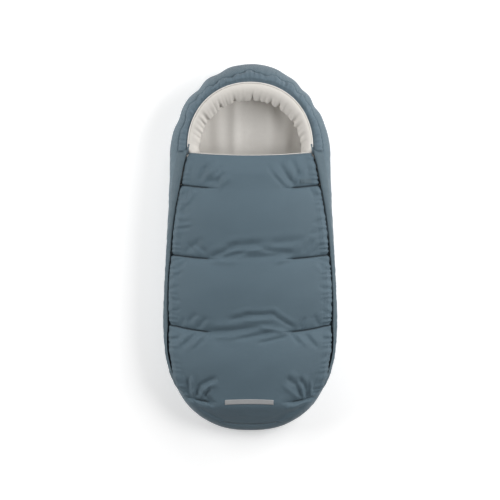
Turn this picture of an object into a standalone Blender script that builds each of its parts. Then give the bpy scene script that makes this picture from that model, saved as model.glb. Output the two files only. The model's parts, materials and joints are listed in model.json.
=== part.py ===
"""A stroller footmuff lying on its back: a padded pod with a gathered hood, and a quilted cover held by two zips.

+Z is up, +Y is the head end, and the origin is on the floor under the middle of the pod. All sizes are metres.
"""

import math

import bpy
import numpy as np
from mathutils import Vector

# Outline of the pod seen from above: a half ellipse of higher power at each end, joined by a straight taper
HEAD_HALF_WIDTH = 0.208
HEAD_REACH = 0.260
HEAD_CENTRE_Y = 0.2145
HEAD_POWER = 2.05
FOOT_HALF_WIDTH = 0.226
FOOT_REACH = 0.299
FOOT_CENTRE_Y = -0.1755
FOOT_POWER = 2.4

# Wall of the pod, from the flat back up to the rim
BASE_CURVE_WIDTH = 0.038
WIDEST_HEIGHT = 0.045
LOWER_ANGLES_DEG = (0, 30, 60)
UPPER_ANGLES_DEG = (0, 22.5, 45, 60, 75, 90)
INNER_COLUMNS = 6
CROWN_RIM_HEIGHT = 0.120
TOE_RIM_HEIGHT = 0.066
TOE_RIM_INSET = 0.0156
HOOD_RIM_HALF_WIDTH = 0.1655
HOOD_RIM_REACH = 0.1701
HOOD_RIM_CENTRE_Y = 0.262
HOOD_RIM_POWER = 2.1

# Layers and the clearance between any two of them
SHELL_THICKNESS = 0.0025
WADDING_THICKNESS = 0.012
LINING_THICKNESS = 0.0025
CLEARANCE = 0.0003
PAD_CLEARANCE = 0.0011
GRIP_THICKNESS = 0.0012

# Zips: an arc in a plane that tilts down towards the foot, then along the outline
ZIP_ARC_RADIUS = 1.820
ZIP_ARC_HALF_WIDTH = 0.2137
ZIP_INSET = 0.009
ZIP_END_Y = -0.365
ZIP_HEIGHT_AT_HOOD = 0.1056
ZIP_HEIGHT_AT_END = 0.0815
ZIP_TO_POD_EDGE = 0.0043
ZIP_TO_COVER_EDGE = 0.0050
COIL_GAP_HALF = 0.0010
COIL_WIDTH = 0.0015
COIL_HEIGHT = 0.0020
TAPE_GAP_HALF = 0.0012
TAPE_THICKNESS = 0.0008
TAPE_FLAT_REACH = 0.0030
TAPE_SEAM_STEP = -3
TAPE_SEAM_CLEARANCE = 0.0009
COVER_TAPE_REACH = 0.012
COVER_ZIP_TOP_Y = 0.236
POD_ZIP_TOP_Y = 0.2530
STOP_LENGTH = 0.0020
STEP_ALONG_ZIP = 0.0001

# Slider and pull
SLIDER_LENGTH = 0.012
SLIDER_CENTRE_Y = 0.2465
SLIDER_HALF_WIDTH = 0.0035
SLIDER_FOOT_HALF_WIDTH = 0.0019
SLIDER_PLATE = 0.0012
FLANGE_THICKNESS = 0.0007
FLANGE_LOW = 0.0008
BRIDGE_HALF_WIDTH = 0.0006
LUG_THICKNESS = 0.0008
PULL_HALF_WIDTH = 0.0022
PULL_EYE_RADIUS = 0.0016
PULL_HOLE_RADIUS = 0.0009
PULL_PIN_RADIUS = 0.0006
PULL_LENGTH = 0.022
PULL_THICKNESS = 0.0014
ROUND_STEPS = 12

# Cover: rows across, given by where they meet the centre line and the zip
TOP_EDGE_CENTRE_Y = 0.2387
TOP_EDGE_SIDE_Y = 0.2470
FLAP_SEAM_CENTRE_Y = 0.1547
FLAP_SEAM_SIDE_Y = 0.1630
UPPER_SEAM_CENTRE_Y = -0.0286
UPPER_SEAM_SIDE_Y = -0.0179
LOWER_SEAM_CENTRE_Y = -0.2189
LOWER_SEAM_SIDE_Y = -0.1989
FOOT_SEAM_CENTRE_Y = -0.4001
FOOT_SEAM_SIDE_Y = -0.3835
TOE_END_HALF_WIDTH = 0.070
SEAM_GAP = 0.0006
COVER_HEM_WIDTH = 0.0105
COVER_COLUMNS = 14
CHAMBER_ROW_SHARES = (0, 0.08, 0.25, 0.5, 0.75, 0.92, 1)
FLAP_ROW_SHARES = (0, 0.1, 0.5, 0.9, 1)
TOE_ROW_SHARES = (0, 0.12, 0.4, 0.7, 1)
FACE_THICKNESS = 0.002
SEAM_THICKNESS = 0.0080
CHAMBER_PUFF = 0.016
FLAP_PUFF = 0.011
TOE_PUFF = 0.008
CHAMBER_PUFF_POWER = 0.75
CENTRE_VALLEY_SHARE = 0.35
DART_HALF_WIDTH = 0.100
COVER_RISE_AT_TOP = 0.022
COVER_RISE_AT_CHEST = 0.032
COVER_RISE_AT_FOOT = 0.020
TOE_RISE_AT_SEAM = 0.002
CROWN_POWER = 2.2
PILLOW_POWER = 4
HEM_POWER = 6

# Hinge lines of the cover and its flap
COVER_AXIS_LIFT = 0.0010
FLAP_AXIS_LIFT = 0.0010

# Trim
BAND_WIDTH = 0.022
BAND_THICKNESS = 0.0012
ELASTIC_WIDTH = 0.008
ELASTIC_THICKNESS = 0.0012
ELASTIC_FROM_RIM = 0.006
PLACKET_WIDTH = 0.022
PLACKET_THICKNESS = 0.0015
TRIM_LIFT = 0.0009
BAND_CLEARANCE = 0.0007
COLLAR_END_HALF_WIDTH = 0.134
COLLAR_INNER_REACH = 0.135
COLLAR_INNER_CENTRE_Y = 0.2457
COLLAR_DEPTH = 0.040
COLLAR_SKIN = 0.002
COLLAR_END_DROP = 0.006
COLLAR_PROFILE_SHARES = (
    (-0.16, -0.16), (0.03, -0.12), (0.10, -0.02), (0.33, 0.06), (0.66, -0.12), (0.90, -0.40),
    (1.00, -0.68), (0.93, -0.92), (0.62, -1.00), (0.15, -0.90), (-0.18, -0.66),
)
BINDING_DEPTH = 0.0035
BINDING_OVERLAP = 0.0005
STRIP_LENGTH = 0.127
STRIP_WIDTH = 0.0125
STRIP_THICKNESS = 0.0006
STRIP_CENTRE_Y = -0.4085
TAG_LENGTH = 0.030
TAG_WIDTH = 0.011
TAG_THICKNESS = 0.0008
TAG_LIFT = 0.0016
TAG_CENTRE = (0.1450, 0.1720)

# Harness slots and the grip panel
SLOT_LENGTH = 0.055
SLOT_WIDTH = 0.010
SLOT_WALL = 0.0020
SLOT_FLANGE = 0.005
SLOT_FLANGE_THICKNESS = 0.0010
SHOULDER_SLOT_X = 0.060
SHOULDER_SLOT_Y = 0.175
CROTCH_SLOT_Y = -0.045
GRIP_HALF_WIDTH = 0.120
GRIP_TOP_Y = 0.150
GRIP_BOTTOM_Y = -0.020

# Stations round the pod
HOOD_STATIONS = 11
ZIP_STATIONS = 13
TOE_STATIONS = 7

BASE = GRIP_THICKNESS + CLEARANCE


def clear_scene():
    for item in list(bpy.data.objects):
        bpy.data.objects.remove(item, do_unlink=True)


def material(name, colour, roughness, metallic=0.0):
    found = bpy.data.materials.new(name)
    found.use_nodes = True
    shader = found.node_tree.nodes["Principled BSDF"]
    shader.inputs["Base Color"].default_value = (*colour, 1.0)
    shader.inputs["Roughness"].default_value = roughness
    shader.inputs["Metallic"].default_value = metallic
    found.diffuse_color = (*colour, 1.0)
    return found


def mesh_object(name, points, faces, finish):
    """One closed mesh with its faces turned outwards, as an object of its own."""
    mesh = bpy.data.meshes.new(name)
    mesh.from_pydata([tuple(p) for p in points], [], [tuple(f) for f in faces])
    mesh.materials.append(finish)
    item = bpy.data.objects.new(name, mesh)
    bpy.context.scene.collection.objects.link(item)
    turn_outwards(mesh)
    mesh.shade_smooth()
    mesh.set_sharp_from_angle(angle=math.radians(40))
    split = item.modifiers.new("Even triangles", "TRIANGULATE")
    split.quad_method = "FIXED"
    return item


def turn_outwards(mesh):
    """Flips the whole mesh when its enclosed volume comes out negative."""
    mesh.calc_loop_triangles()
    points = np.array([v.co for v in mesh.vertices])
    corners = points[np.array([t.vertices for t in mesh.loop_triangles])]
    if np.linalg.det(corners).sum() < 0:
        mesh.flip_normals()


def loft(name, loops, finish, turn=None, halves=False):
    """Joins a list of closed loops, each with as many points, and closes both ends.

    From loop number turn on, the quads split along their other diagonal, so that the two faces of a folded-back
    wall split alike. With halves, the second half of each loop splits as the mirror image of the first.
    """
    loops = np.asarray(loops)
    count, size = loops.shape[:2]
    faces = []
    for row in range(count - 1):
        for k in range(size):
            nxt = (k + 1) % size
            quad = (row * size + k, row * size + nxt, (row + 1) * size + nxt, (row + 1) * size + k)
            past_turn = turn is not None and row >= turn
            second_half = halves and k >= size // 2
            faces.append(quad if past_turn == second_half else quad[1:] + quad[:1])
    faces.append(tuple(range(size))[::-1])
    faces.append(tuple((count - 1) * size + k for k in range(size)))
    return mesh_object(name, loops.reshape(-1, 3), faces, finish)


def slab(name, top, bottom, finish):
    """A closed sheet between two grids of rows and columns, with walls of quads along its four edges."""
    rows, columns = top.shape[:2]
    points = np.concatenate([top.reshape(-1, 3), bottom.reshape(-1, 3)])
    under = rows * columns
    faces = []
    for r in range(rows - 1):
        for c in range(columns - 1):
            a, b = r * columns + c, r * columns + c + 1
            d, e = a + columns, b + columns
            faces.append((a, b, e, d))
            faces.append((under + e, under + b, under + a, under + d))
    edge = [c for c in range(columns)]
    edge += [r * columns + columns - 1 for r in range(1, rows)]
    edge += [(rows - 1) * columns + c for c in range(columns - 2, -1, -1)]
    edge += [r * columns for r in range(rows - 2, 0, -1)]
    for a, b in zip(edge, edge[1:] + edge[:1]):
        faces.append((b, a, under + a, under + b))
    return mesh_object(name, points, faces, finish)


def unit(vectors):
    return vectors / np.linalg.norm(vectors, axis=-1, keepdims=True)


def mirrored(points):
    return points * np.array([-1, 1, 1])


def outline_half_width(y):
    """Half the pod's width at y, seen from above."""
    y = np.asarray(y, float)
    head = np.clip((y - HEAD_CENTRE_Y) / HEAD_REACH, 0, 1)
    foot = np.clip((FOOT_CENTRE_Y - y) / FOOT_REACH, 0, 1)
    up = np.clip((y - FOOT_CENTRE_Y) / (HEAD_CENTRE_Y - FOOT_CENTRE_Y), 0, 1)
    width = FOOT_HALF_WIDTH + (HEAD_HALF_WIDTH - FOOT_HALF_WIDTH) * up
    return width * (1 - head**HEAD_POWER) ** (1 / HEAD_POWER) * (1 - foot**FOOT_POWER) ** (1 / FOOT_POWER)


ZIP_SLOPE = (ZIP_HEIGHT_AT_HOOD - ZIP_HEIGHT_AT_END) / (HOOD_RIM_CENTRE_Y - ZIP_END_Y)
ZIP_TILT = math.atan(ZIP_SLOPE)


def zip_height(y):
    return BASE + ZIP_HEIGHT_AT_END + ZIP_SLOPE * (np.asarray(y, float) - ZIP_END_Y)


def zip_line(y):
    """Points on the middle of the right-hand zip."""
    y = np.asarray(y, float)
    along = (y - FOOT_CENTRE_Y) / math.cos(ZIP_TILT)
    arc = ZIP_ARC_HALF_WIDTH - ZIP_ARC_RADIUS + np.sqrt(ZIP_ARC_RADIUS**2 - along**2)
    x = np.minimum(arc, outline_half_width(y) - ZIP_INSET)
    return np.stack([x, y, zip_height(y)], -1)


def zip_point(y, outward, up):
    """A point beside the right-hand zip: outward from its middle in the zip's plane, and up off that plane."""
    y = np.asarray(y, float)
    ahead = zip_line(y + STEP_ALONG_ZIP)
    behind = zip_line(y - STEP_ALONG_ZIP)
    along = unit(ahead - behind)
    plane_normal = np.array([0, -math.sin(ZIP_TILT), math.cos(ZIP_TILT)])
    side = unit(np.cross(along, plane_normal))
    return zip_line(y) + side * outward + plane_normal * up


def super_arc(angle, half_width, reach, power):
    """x and y of a higher-power ellipse, from its tip at angle 0 to its side at a right angle."""
    x = half_width * np.abs(np.sin(angle)) ** (2 / power)
    y = reach * np.abs(np.cos(angle)) ** (2 / power)
    return x, y


def half_stations():
    """Outline points and rim points of the right half, from the crown to the toe."""
    share = np.linspace(0, 1, HOOD_STATIONS + 1)
    turn = share * math.pi / 2
    last = math.acos(((HOOD_RIM_CENTRE_Y - HEAD_CENTRE_Y) / HEAD_REACH) ** (HEAD_POWER / 2))
    x, y = super_arc(share * last, HEAD_HALF_WIDTH, HEAD_REACH, HEAD_POWER)
    hood_out = np.stack([x, HEAD_CENTRE_Y + y], -1)
    x, y = super_arc(turn, HOOD_RIM_HALF_WIDTH, HOOD_RIM_REACH, HOOD_RIM_POWER)
    corner = zip_point(HOOD_RIM_CENTRE_Y, ZIP_TO_POD_EDGE, CLEARANCE + SHELL_THICKNESS)
    z = corner[2] + (BASE + CROWN_RIM_HEIGHT - corner[2]) * np.cos(turn) ** 2
    hood_rim = np.stack([x, HOOD_RIM_CENTRE_Y + y, z], -1)
    zip_y = zip_stations()[1:]
    zip_out = np.stack([outline_half_width(zip_y), zip_y], -1)
    zip_rim = zip_point(zip_y, ZIP_TO_POD_EDGE, CLEARANCE + SHELL_THICKNESS)
    start = math.asin(((FOOT_CENTRE_Y - ZIP_END_Y) / FOOT_REACH) ** (FOOT_POWER / 2))
    share = np.linspace(0, 1, TOE_STATIONS + 1)[1:]
    angle = math.pi / 2 - start - share * (math.pi / 2 - start)
    x, y = super_arc(angle, FOOT_HALF_WIDTH, FOOT_REACH, FOOT_POWER)
    toe_out = np.stack([x, FOOT_CENTRE_Y - y], -1)
    normal = unit(np.stack([np.sin(angle), -np.cos(angle)], -1) / np.array([FOOT_HALF_WIDTH, FOOT_REACH]))
    first = np.linalg.norm(zip_rim[-1, :2] - zip_out[-1])
    blend = share**2 * (3 - 2 * share)
    inset = first + (TOE_RIM_INSET - first) * blend
    toe_plan = toe_out - normal * inset[:, None]
    toe_z = zip_rim[-1, 2] + (BASE + TOE_RIM_HEIGHT - zip_rim[-1, 2]) * blend
    toe_rim = np.column_stack([toe_plan, toe_z])
    outline = np.concatenate([hood_out, zip_out, toe_out])
    rim = np.concatenate([hood_rim, zip_rim, toe_rim])
    return outline, rim


def whole_ring(half):
    """The right half and its mirror image as one closed ring."""
    left = half[-2:0:-1].copy()
    left[:, 0] *= -1
    return np.concatenate([half, left])


def pod_grid():
    """Outer surface of the pod: one row for each station, one column for each step up the wall."""
    half_out, half_rim = half_stations()
    out, rim = whole_ring(half_out), whole_ring(half_rim)
    along = np.roll(out, -1, 0) - np.roll(out, 1, 0)
    inward = unit(np.stack([along[:, 1], -along[:, 0]], -1))
    columns = []
    for angle in np.radians(LOWER_ANGLES_DEG):
        plan = out + inward * BASE_CURVE_WIDTH * (1 - math.sin(angle))
        z = np.full(len(out), BASE + WIDEST_HEIGHT * (1 - math.cos(angle)))
        columns.append(np.column_stack([plan, z]))
    for angle in np.radians(UPPER_ANGLES_DEG):
        plan = out + (rim[:, :2] - out) * (1 - math.cos(angle))
        z = BASE + WIDEST_HEIGHT + (rim[:, 2] - BASE - WIDEST_HEIGHT) * math.sin(angle)
        columns.append(np.column_stack([plan, z]))
    grid = np.stack(columns, 1)
    round_ring = np.roll(grid, -1, 0) - np.roll(grid, 1, 0)
    up_wall = np.gradient(grid, axis=1)
    normal = unit(np.cross(up_wall, round_ring))
    outward = np.column_stack([out - rim[:, :2], np.zeros(len(out))])
    normal *= np.sign((normal[:, 3] * outward).sum(-1))[:, None, None]
    normal[:, 0] = (0, 0, -1)
    normal[:, -1] = (0, 0, 1)
    normal[:, -2] = unit(normal[:, -2] + normal[:, -1])
    return grid, normal


def pod_layer(name, grid, normal, outer_depth, thickness, columns, finish):
    """A bowl-shaped layer that follows the pod's wall at a given depth under its outer face."""
    outer = grid[:, :columns] - normal[:, :columns] * outer_depth
    inner = grid[:, :columns] - normal[:, :columns] * (outer_depth + thickness)
    loops = [outer[:, c] for c in range(columns)] + [inner[:, c] for c in reversed(range(columns))]
    return loft(name, loops, finish, turn=columns, halves=True)


def station_at(y, grid):
    """Where y falls along the right half's rim, as a number of stations from the crown."""
    half = HOOD_STATIONS + ZIP_STATIONS + TOE_STATIONS + 1
    return np.interp(-y, -grid[:half, -1, 1], np.arange(half))


def at_station(values, place):
    """Values of the ring read between two stations, also past the crown on the left side."""
    low = int(math.floor(place))
    part = place - low
    count = len(values)
    return values[low % count] * (1 - part) + values[(low + 1) % count] * part


def down_wall(wall, normal, distance):
    """The point and normal a distance down one station's wall from the rim, along its straight steps."""
    wall, normal = wall[::-1], normal[::-1]
    travelled = np.concatenate([[0], np.cumsum(np.linalg.norm(np.diff(wall, axis=0), axis=1))])
    point = np.array([np.interp(distance, travelled, wall[:, k]) for k in range(3)])
    lean = np.array([np.interp(distance, travelled, normal[:, k]) for k in range(3)])
    return point, unit(lean)


def wall_steps(wall, start, end, most):
    """Distances from the rim where a trim strip bends: at the wall's own steps and at both of its ends."""
    travelled = np.cumsum(np.linalg.norm(np.diff(wall[::-1], axis=0), axis=1))
    inside = [d for d in travelled if start < d < end]
    while len(inside) < most:
        knots = [start] + inside + [end]
        gaps = np.diff(knots)
        widest = int(np.argmax(gaps))
        inside.insert(widest, (knots[widest] + knots[widest + 1]) / 2)
    return [start] + inside[:most] + [end]


def wall_trim(name, grid, normal, places, start, end, lift, thickness, bends, finish, turn=0):
    """A strip laid on the outside of the pod's wall, from one distance below the rim to another. Its quads split
    as the wall's do on the right side from section number turn on."""
    sections = []
    for place in places:
        wall, lean = at_station(grid, place), at_station(normal, place)
        steps = [down_wall(wall, lean, d) for d in wall_steps(wall, start, end, bends)]
        under = [p + n * lift for p, n in steps]
        over = [p + n * (lift + thickness) for p, n in steps]
        sections.append(under + over[::-1])
    return loft(name, sections, finish, turn=turn)


def places_between(grid, top_y, bottom_y):
    """Station numbers of the right half from top_y down to bottom_y, with the whole stations between."""
    first, last = station_at(top_y, grid), station_at(bottom_y, grid)
    whole = [k for k in range(math.ceil(first), math.floor(last) + 1) if first < k < last]
    return [first] + whole + [last]


def both_sides(name, make, side_finish):
    """Makes the right-hand piece, and its mirror image for the left."""
    right = make(name + "_right", side_finish)
    mesh = right.data.copy()
    mesh.name = name + "_left"
    flat = np.empty(len(mesh.vertices) * 3, np.float32)
    mesh.vertices.foreach_get("co", flat)
    mesh.vertices.foreach_set("co", mirrored(flat.reshape(-1, 3)).ravel())
    mesh.flip_normals()
    left = bpy.data.objects.new(name + "_left", mesh)
    bpy.context.scene.collection.objects.link(left)
    split = left.modifiers.new("Even triangles", "TRIANGULATE")
    split.quad_method = "FIXED"
    return right, left


def pod_tape(name, grid, normal, finish):
    """Tape of the pod's side: flat beside the coil, then down to its seam on the inside of the shell."""
    sections = []
    for place in places_between(grid, POD_ZIP_TOP_Y, ZIP_END_Y):
        wall, lean = at_station(grid, place), at_station(normal, place)
        y = wall[-1, 1]
        top = [zip_point(y, q, 0) for q in (TAPE_GAP_HALF, TAPE_FLAT_REACH)]
        low = [zip_point(y, q, -TAPE_THICKNESS) for q in (TAPE_GAP_HALF, TAPE_FLAT_REACH - TAPE_THICKNESS)]
        depth = SHELL_THICKNESS + TAPE_SEAM_CLEARANCE
        top.append(wall[TAPE_SEAM_STEP] - lean[TAPE_SEAM_STEP] * depth)
        low.append(wall[TAPE_SEAM_STEP] - lean[TAPE_SEAM_STEP] * (depth + TAPE_THICKNESS))
        sections.append(top + low[::-1])
    return loft(name, sections, finish, turn=0)


def flat_run(name, ys, inner, outer, low, high, finish):
    """A strip of even section along the right-hand zip, between two distances from its middle."""
    corners = ((inner, low), (outer, low), (outer, high), (inner, high))
    sections = [[zip_point(y, q, h) for q, h in corners] for y in ys]
    return loft(name, sections, finish)


def zip_stations():
    return np.linspace(HOOD_RIM_CENTRE_Y, ZIP_END_Y, ZIP_STATIONS + 1)


def zip_rows(top_y, bottom_y):
    """Both ends and the pod's own stations between them, so that what lies beside the rim bends where it does."""
    between = [y for y in zip_stations() if bottom_y < y < top_y]
    return [top_y] + between + [bottom_y]


def box_between(name, low, high, finish):
    (x0, y0, z0), (x1, y1, z1) = low, high
    under = [(x0, y0, z0), (x1, y0, z0), (x1, y1, z0), (x0, y1, z0)]
    over = [(x, y, z1) for x, y, _ in under]
    return loft(name, [under, over], finish)


def row_ends(side_y):
    """Where a row of the cover meets its edge beside the zip."""
    return zip_point(side_y, -ZIP_TO_COVER_EDGE, 0)


def cover_columns(half_width):
    """Shares across a row: the hem at each side, and even steps between."""
    inner = np.linspace(-1, 1, COVER_COLUMNS + 1)
    hem = 1 - COVER_HEM_WIDTH / half_width
    return np.concatenate([[-1], inner * hem, [1]]), np.concatenate([[1], np.abs(inner), [1]])


def cover_surfaces(rows):
    """Top and bottom grids of the cover from rows of (centre y, edge point, rise, puff, seam thickness share)."""
    tops, bottoms = [], []
    for centre_y, edge, rise, puff, floor_lift in rows:
        across, share = cover_columns(edge[0])
        x = edge[0] * across
        y = centre_y + (edge[1] - centre_y) * across**2
        crown = 1 - share**CROWN_POWER
        low = edge[2] - CLEARANCE - TAPE_THICKNESS - LINING_THICKNESS
        hem = FACE_THICKNESS + 2 * CLEARANCE + TAPE_THICKNESS + LINING_THICKNESS
        bottom = low + rise * crown
        full = 1 - share**HEM_POWER
        pillow = np.sqrt(1 - share**PILLOW_POWER)
        between_darts = np.sqrt(np.clip((DART_HALF_WIDTH - np.abs(x)) / DART_HALF_WIDTH, 0, 1))
        top = bottom + hem + (SEAM_THICKNESS - hem) * full + (puff + floor_lift * between_darts) * pillow
        tops.append(np.stack([x, y, top], -1))
        bottoms.append(np.stack([x, y, bottom], -1))
    return np.array(tops), np.array(bottoms)


def chamber_rows(start, end, shares, puff, rises):
    """Rows of one chamber, between two seams given as (centre y, side y)."""
    rows = []
    for share in shares:
        centre_y = start[0] + (end[0] - start[0]) * share
        side_y = start[1] + (end[1] - start[1]) * share
        swell = math.sin(math.pi * share) ** CHAMBER_PUFF_POWER if 0 < share < 1 else 0
        rise = rises[0] + (rises[1] - rises[0]) * share
        valley = puff * CENTRE_VALLEY_SHARE * (1 - swell)
        rows.append((centre_y, row_ends(side_y), rise, puff * swell, valley))
    return rows


def between_rows(grid, place):
    low = min(int(place), len(grid) - 2)
    part = place - low
    return grid[low] * (1 - part) + grid[low + 1] * part


def face_sheet(name, top, finish):
    return slab(name, top, top - np.array([0, 0, FACE_THICKNESS]), finish)


def lining_sheet(name, bottom, finish):
    return slab(name, bottom + np.array([0, 0, LINING_THICKNESS]), bottom, finish)


def pad_between(name, top, bottom, finish):
    """Wadding between the face and the lining of one chamber, clear of the seams and the hems."""
    last = len(top) - 1
    places = [0.5] + list(range(1, last)) + [last - 0.5]
    upper = np.array([between_rows(top, p) for p in places])[:, 1:-1]
    lower = np.array([between_rows(bottom, p) for p in places])[:, 1:-1]
    upper = upper - np.array([0, 0, FACE_THICKNESS + PAD_CLEARANCE])
    lower = lower + np.array([0, 0, LINING_THICKNESS + CLEARANCE])
    return slab(name, upper, lower, finish)


def extruded(name, outline, start, end, finish):
    """A flat outline of (y, z) points carried along x from start to end."""
    sections = [[(x, y, z) for y, z in outline] for x in (start, end)]
    return loft(name, sections, finish)


def arc_points(centre, radius, start, end, steps):
    """Points on an arc, in degrees."""
    turns = np.radians(np.linspace(start, end, steps + 1))
    return [(centre[0] + radius * math.cos(a), centre[1] + radius * math.sin(a)) for a in turns]


def joined(item, other, operation):
    """Adds a Boolean with a hidden helper, ahead of the triangle step."""
    other.hide_render = True
    other.display_type = "WIRE"
    cut = item.modifiers.new(operation.title() + " " + other.name, "BOOLEAN")
    cut.operation = operation
    cut.object = other
    cut.solver = "EXACT"
    item.modifiers.move(len(item.modifiers) - 1, 0)


def slider_frame(side):
    """Where the slider rests: across, along and up directions, and the point on the zip's middle."""
    origin = zip_line(SLIDER_CENTRE_Y)
    ahead = unit(zip_line(SLIDER_CENTRE_Y + STEP_ALONG_ZIP) - zip_line(SLIDER_CENTRE_Y - STEP_ALONG_ZIP))
    up = np.array([0, -math.sin(ZIP_TILT), math.cos(ZIP_TILT)])
    across = np.cross(ahead, up)
    flip = np.array([side, 1, 1])
    return across * flip, ahead * flip, up * flip, origin * flip


def placed(item, frame_axes):
    """Turns and moves a small piece from its own axes to its rest place, in its mesh."""
    across, ahead, up, origin = frame_axes
    count = len(item.data.vertices)
    flat = np.empty(count * 3, np.float32)
    item.data.vertices.foreach_get("co", flat)
    local = flat.reshape(-1, 3)
    world = origin + local[:, :1] * across + local[:, 1:2] * ahead + local[:, 2:] * up
    item.data.vertices.foreach_set("co", world.astype(np.float32).ravel())
    item.data.update()
    turn_outwards(item.data)


COIL_TOP = CLEARANCE + COIL_HEIGHT
PLATE_LOW = COIL_TOP + CLEARANCE
PLATE_TOP = PLATE_LOW + SLIDER_PLATE
UNDER_TOP = -TAPE_THICKNESS - CLEARANCE
AXIS_UP = PLATE_TOP + CLEARANCE + PULL_EYE_RADIUS


def zip_slider(name, side, finish):
    """Top plate with side flanges, bridge between the coils and bottom plate, with two lugs and a pin on top."""
    w, f, b, foot = SLIDER_HALF_WIDTH, FLANGE_THICKNESS, BRIDGE_HALF_WIDTH, SLIDER_FOOT_HALF_WIDTH
    low = UNDER_TOP - SLIDER_PLATE
    right = [
        (foot, low), (foot, UNDER_TOP), (b, UNDER_TOP), (b, PLATE_LOW), (w - f, PLATE_LOW), (w - f, FLANGE_LOW),
        (w, FLANGE_LOW), (w, PLATE_TOP),
    ]
    outline = right + [(-x, z) for x, z in reversed(right)]
    half = SLIDER_LENGTH / 2
    body = loft(name, [[(x, y, z) for x, z in outline] for y in (-half, half)], finish)
    inner = PULL_HALF_WIDTH + CLEARANCE
    tall = AXIS_UP
    root = PLATE_TOP - SLIDER_PLATE / 2
    helpers = []
    for sign in (-1, 1):
        edges = sorted((sign * inner, sign * (inner + LUG_THICKNESS)))
        shape = [(-PULL_EYE_RADIUS, root), (PULL_EYE_RADIUS, root)]
        shape += arc_points((0, tall), PULL_EYE_RADIUS, 0, 180, ROUND_STEPS // 2)
        helpers.append(extruded(name + "_lug", shape, edges[0], edges[1], finish))
    reach = inner + LUG_THICKNESS / 2
    pin = arc_points((0, tall), PULL_PIN_RADIUS, 0, 360, ROUND_STEPS)[:-1]
    helpers.append(extruded(name + "_pin", pin, -reach, reach, finish))
    frame_axes = slider_frame(side)
    placed(body, frame_axes)
    for helper in helpers:
        placed(helper, frame_axes)
        joined(body, helper, "UNION")
    body.modifiers.move(0, len(helpers) - 1)
    return body


def zip_pull(name, side, finish):
    """A narrow bar with an eye at its hinge, lying towards the head end."""
    half = PULL_THICKNESS / 2
    bend = math.degrees(math.asin(half / PULL_EYE_RADIUS))
    outline = arc_points((0, AXIS_UP), PULL_EYE_RADIUS, bend, 360 - bend, ROUND_STEPS)
    tip = arc_points((PULL_LENGTH, AXIS_UP), half, -90, 90, ROUND_STEPS // 2)
    bar = extruded(name, outline + tip, -PULL_HALF_WIDTH, PULL_HALF_WIDTH, finish)
    hole = arc_points((0, AXIS_UP), PULL_HOLE_RADIUS, 0, 360, ROUND_STEPS)[:-1]
    wide = PULL_HALF_WIDTH + LUG_THICKNESS
    cutter = extruded(name + "_eye", hole, -wide, wide, finish)
    frame_axes = slider_frame(side)
    placed(bar, frame_axes)
    placed(cutter, frame_axes)
    joined(bar, cutter, "DIFFERENCE")
    return bar


def slot_binding(name, x, y, finish):
    """Sleeve through all layers of the back with a flange on the lining, and a cutter that opens the layers."""
    floor = BASE + SHELL_THICKNESS + WADDING_THICKNESS + LINING_THICKNESS + 2 * CLEARANCE
    half, wide = SLOT_LENGTH / 2, SLOT_WIDTH / 2
    low, top = BASE, floor + CLEARANCE + SLOT_FLANGE_THICKNESS
    under_flange = floor + CLEARANCE

    def loop(grow, z):
        a, b = half + grow, wide + grow
        return [(x - a, y - b, z), (x + a, y - b, z), (x + a, y + b, z), (x - a, y + b, z)]

    wall, flange = SLOT_WALL, SLOT_WALL + SLOT_FLANGE
    rings = [loop(0, low), loop(wall, low), loop(wall, under_flange), loop(flange, under_flange)]
    rings += [loop(flange, top), loop(0, top)]
    size = len(rings[0])
    points = [p for ring in rings for p in ring]
    faces = []
    for r in range(len(rings)):
        nxt = (r + 1) % len(rings)
        for k in range(size):
            m = (k + 1) % size
            faces.append((r * size + k, r * size + m, nxt * size + m, nxt * size + k))
    binding = mesh_object(name, points, faces, finish)
    cutter = box_between(
        name + "_cut",
        (x - half - wall - CLEARANCE, y - wide - wall - CLEARANCE, low - SLOT_FLANGE),
        (x + half + wall + CLEARANCE, y + wide + wall + CLEARANCE, top + SLOT_FLANGE),
        finish,
    )
    return binding, cutter


def collar_sections(grid, normal):
    """Profile points of the fleece roll at each hood station, from the right corner over the crown to the left."""
    xi, yi = super_arc(
        np.linspace(0, math.pi / 2, HOOD_STATIONS + 1), COLLAR_END_HALF_WIDTH, COLLAR_INNER_REACH, HOOD_RIM_POWER
    )
    skins, cores = [], []
    shares = np.array(COLLAR_PROFILE_SHARES)
    for k in range(-HOOD_STATIONS, HOOD_STATIONS + 1):
        place = abs(k)
        side = -1 if k < 0 else 1
        rim = grid[place, -1] * np.array([side, 1, 1])
        inner = np.array([side * xi[place], COLLAR_INNER_CENTRE_Y + yi[place]])
        drop = COLLAR_END_DROP * (place / HOOD_STATIONS) ** 4
        start = rim[:2] + unit(inner - rim[:2]) * CLEARANCE
        across = inner - start
        along = unit(across)
        outline = []
        for share, up in shares:
            plan = start + across * share
            outline.append((*plan, rim[2] - SHELL_THICKNESS - drop + COLLAR_DEPTH * up))
        outline = np.array(outline)
        flat = np.column_stack([(outline[:, :2] - start) @ along, outline[:, 2]])
        step = np.roll(flat, -1, 0) - np.roll(flat, 1, 0)
        inward = unit(np.stack([step[:, 1], -step[:, 0]], -1))
        near = flat + inward * COLLAR_SKIN
        far = flat + inward * (COLLAR_SKIN + CLEARANCE)
        count = len(flat)
        skin = list(range(1, count - 1))
        path = [flat[j] for j in skin] + [near[j] for j in reversed(skin)]
        skins.append([(*(start + along * r), z) for r, z in path])
        cores.append([(*(start + along * r), z) for r, z in far])
    return skins, cores


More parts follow.
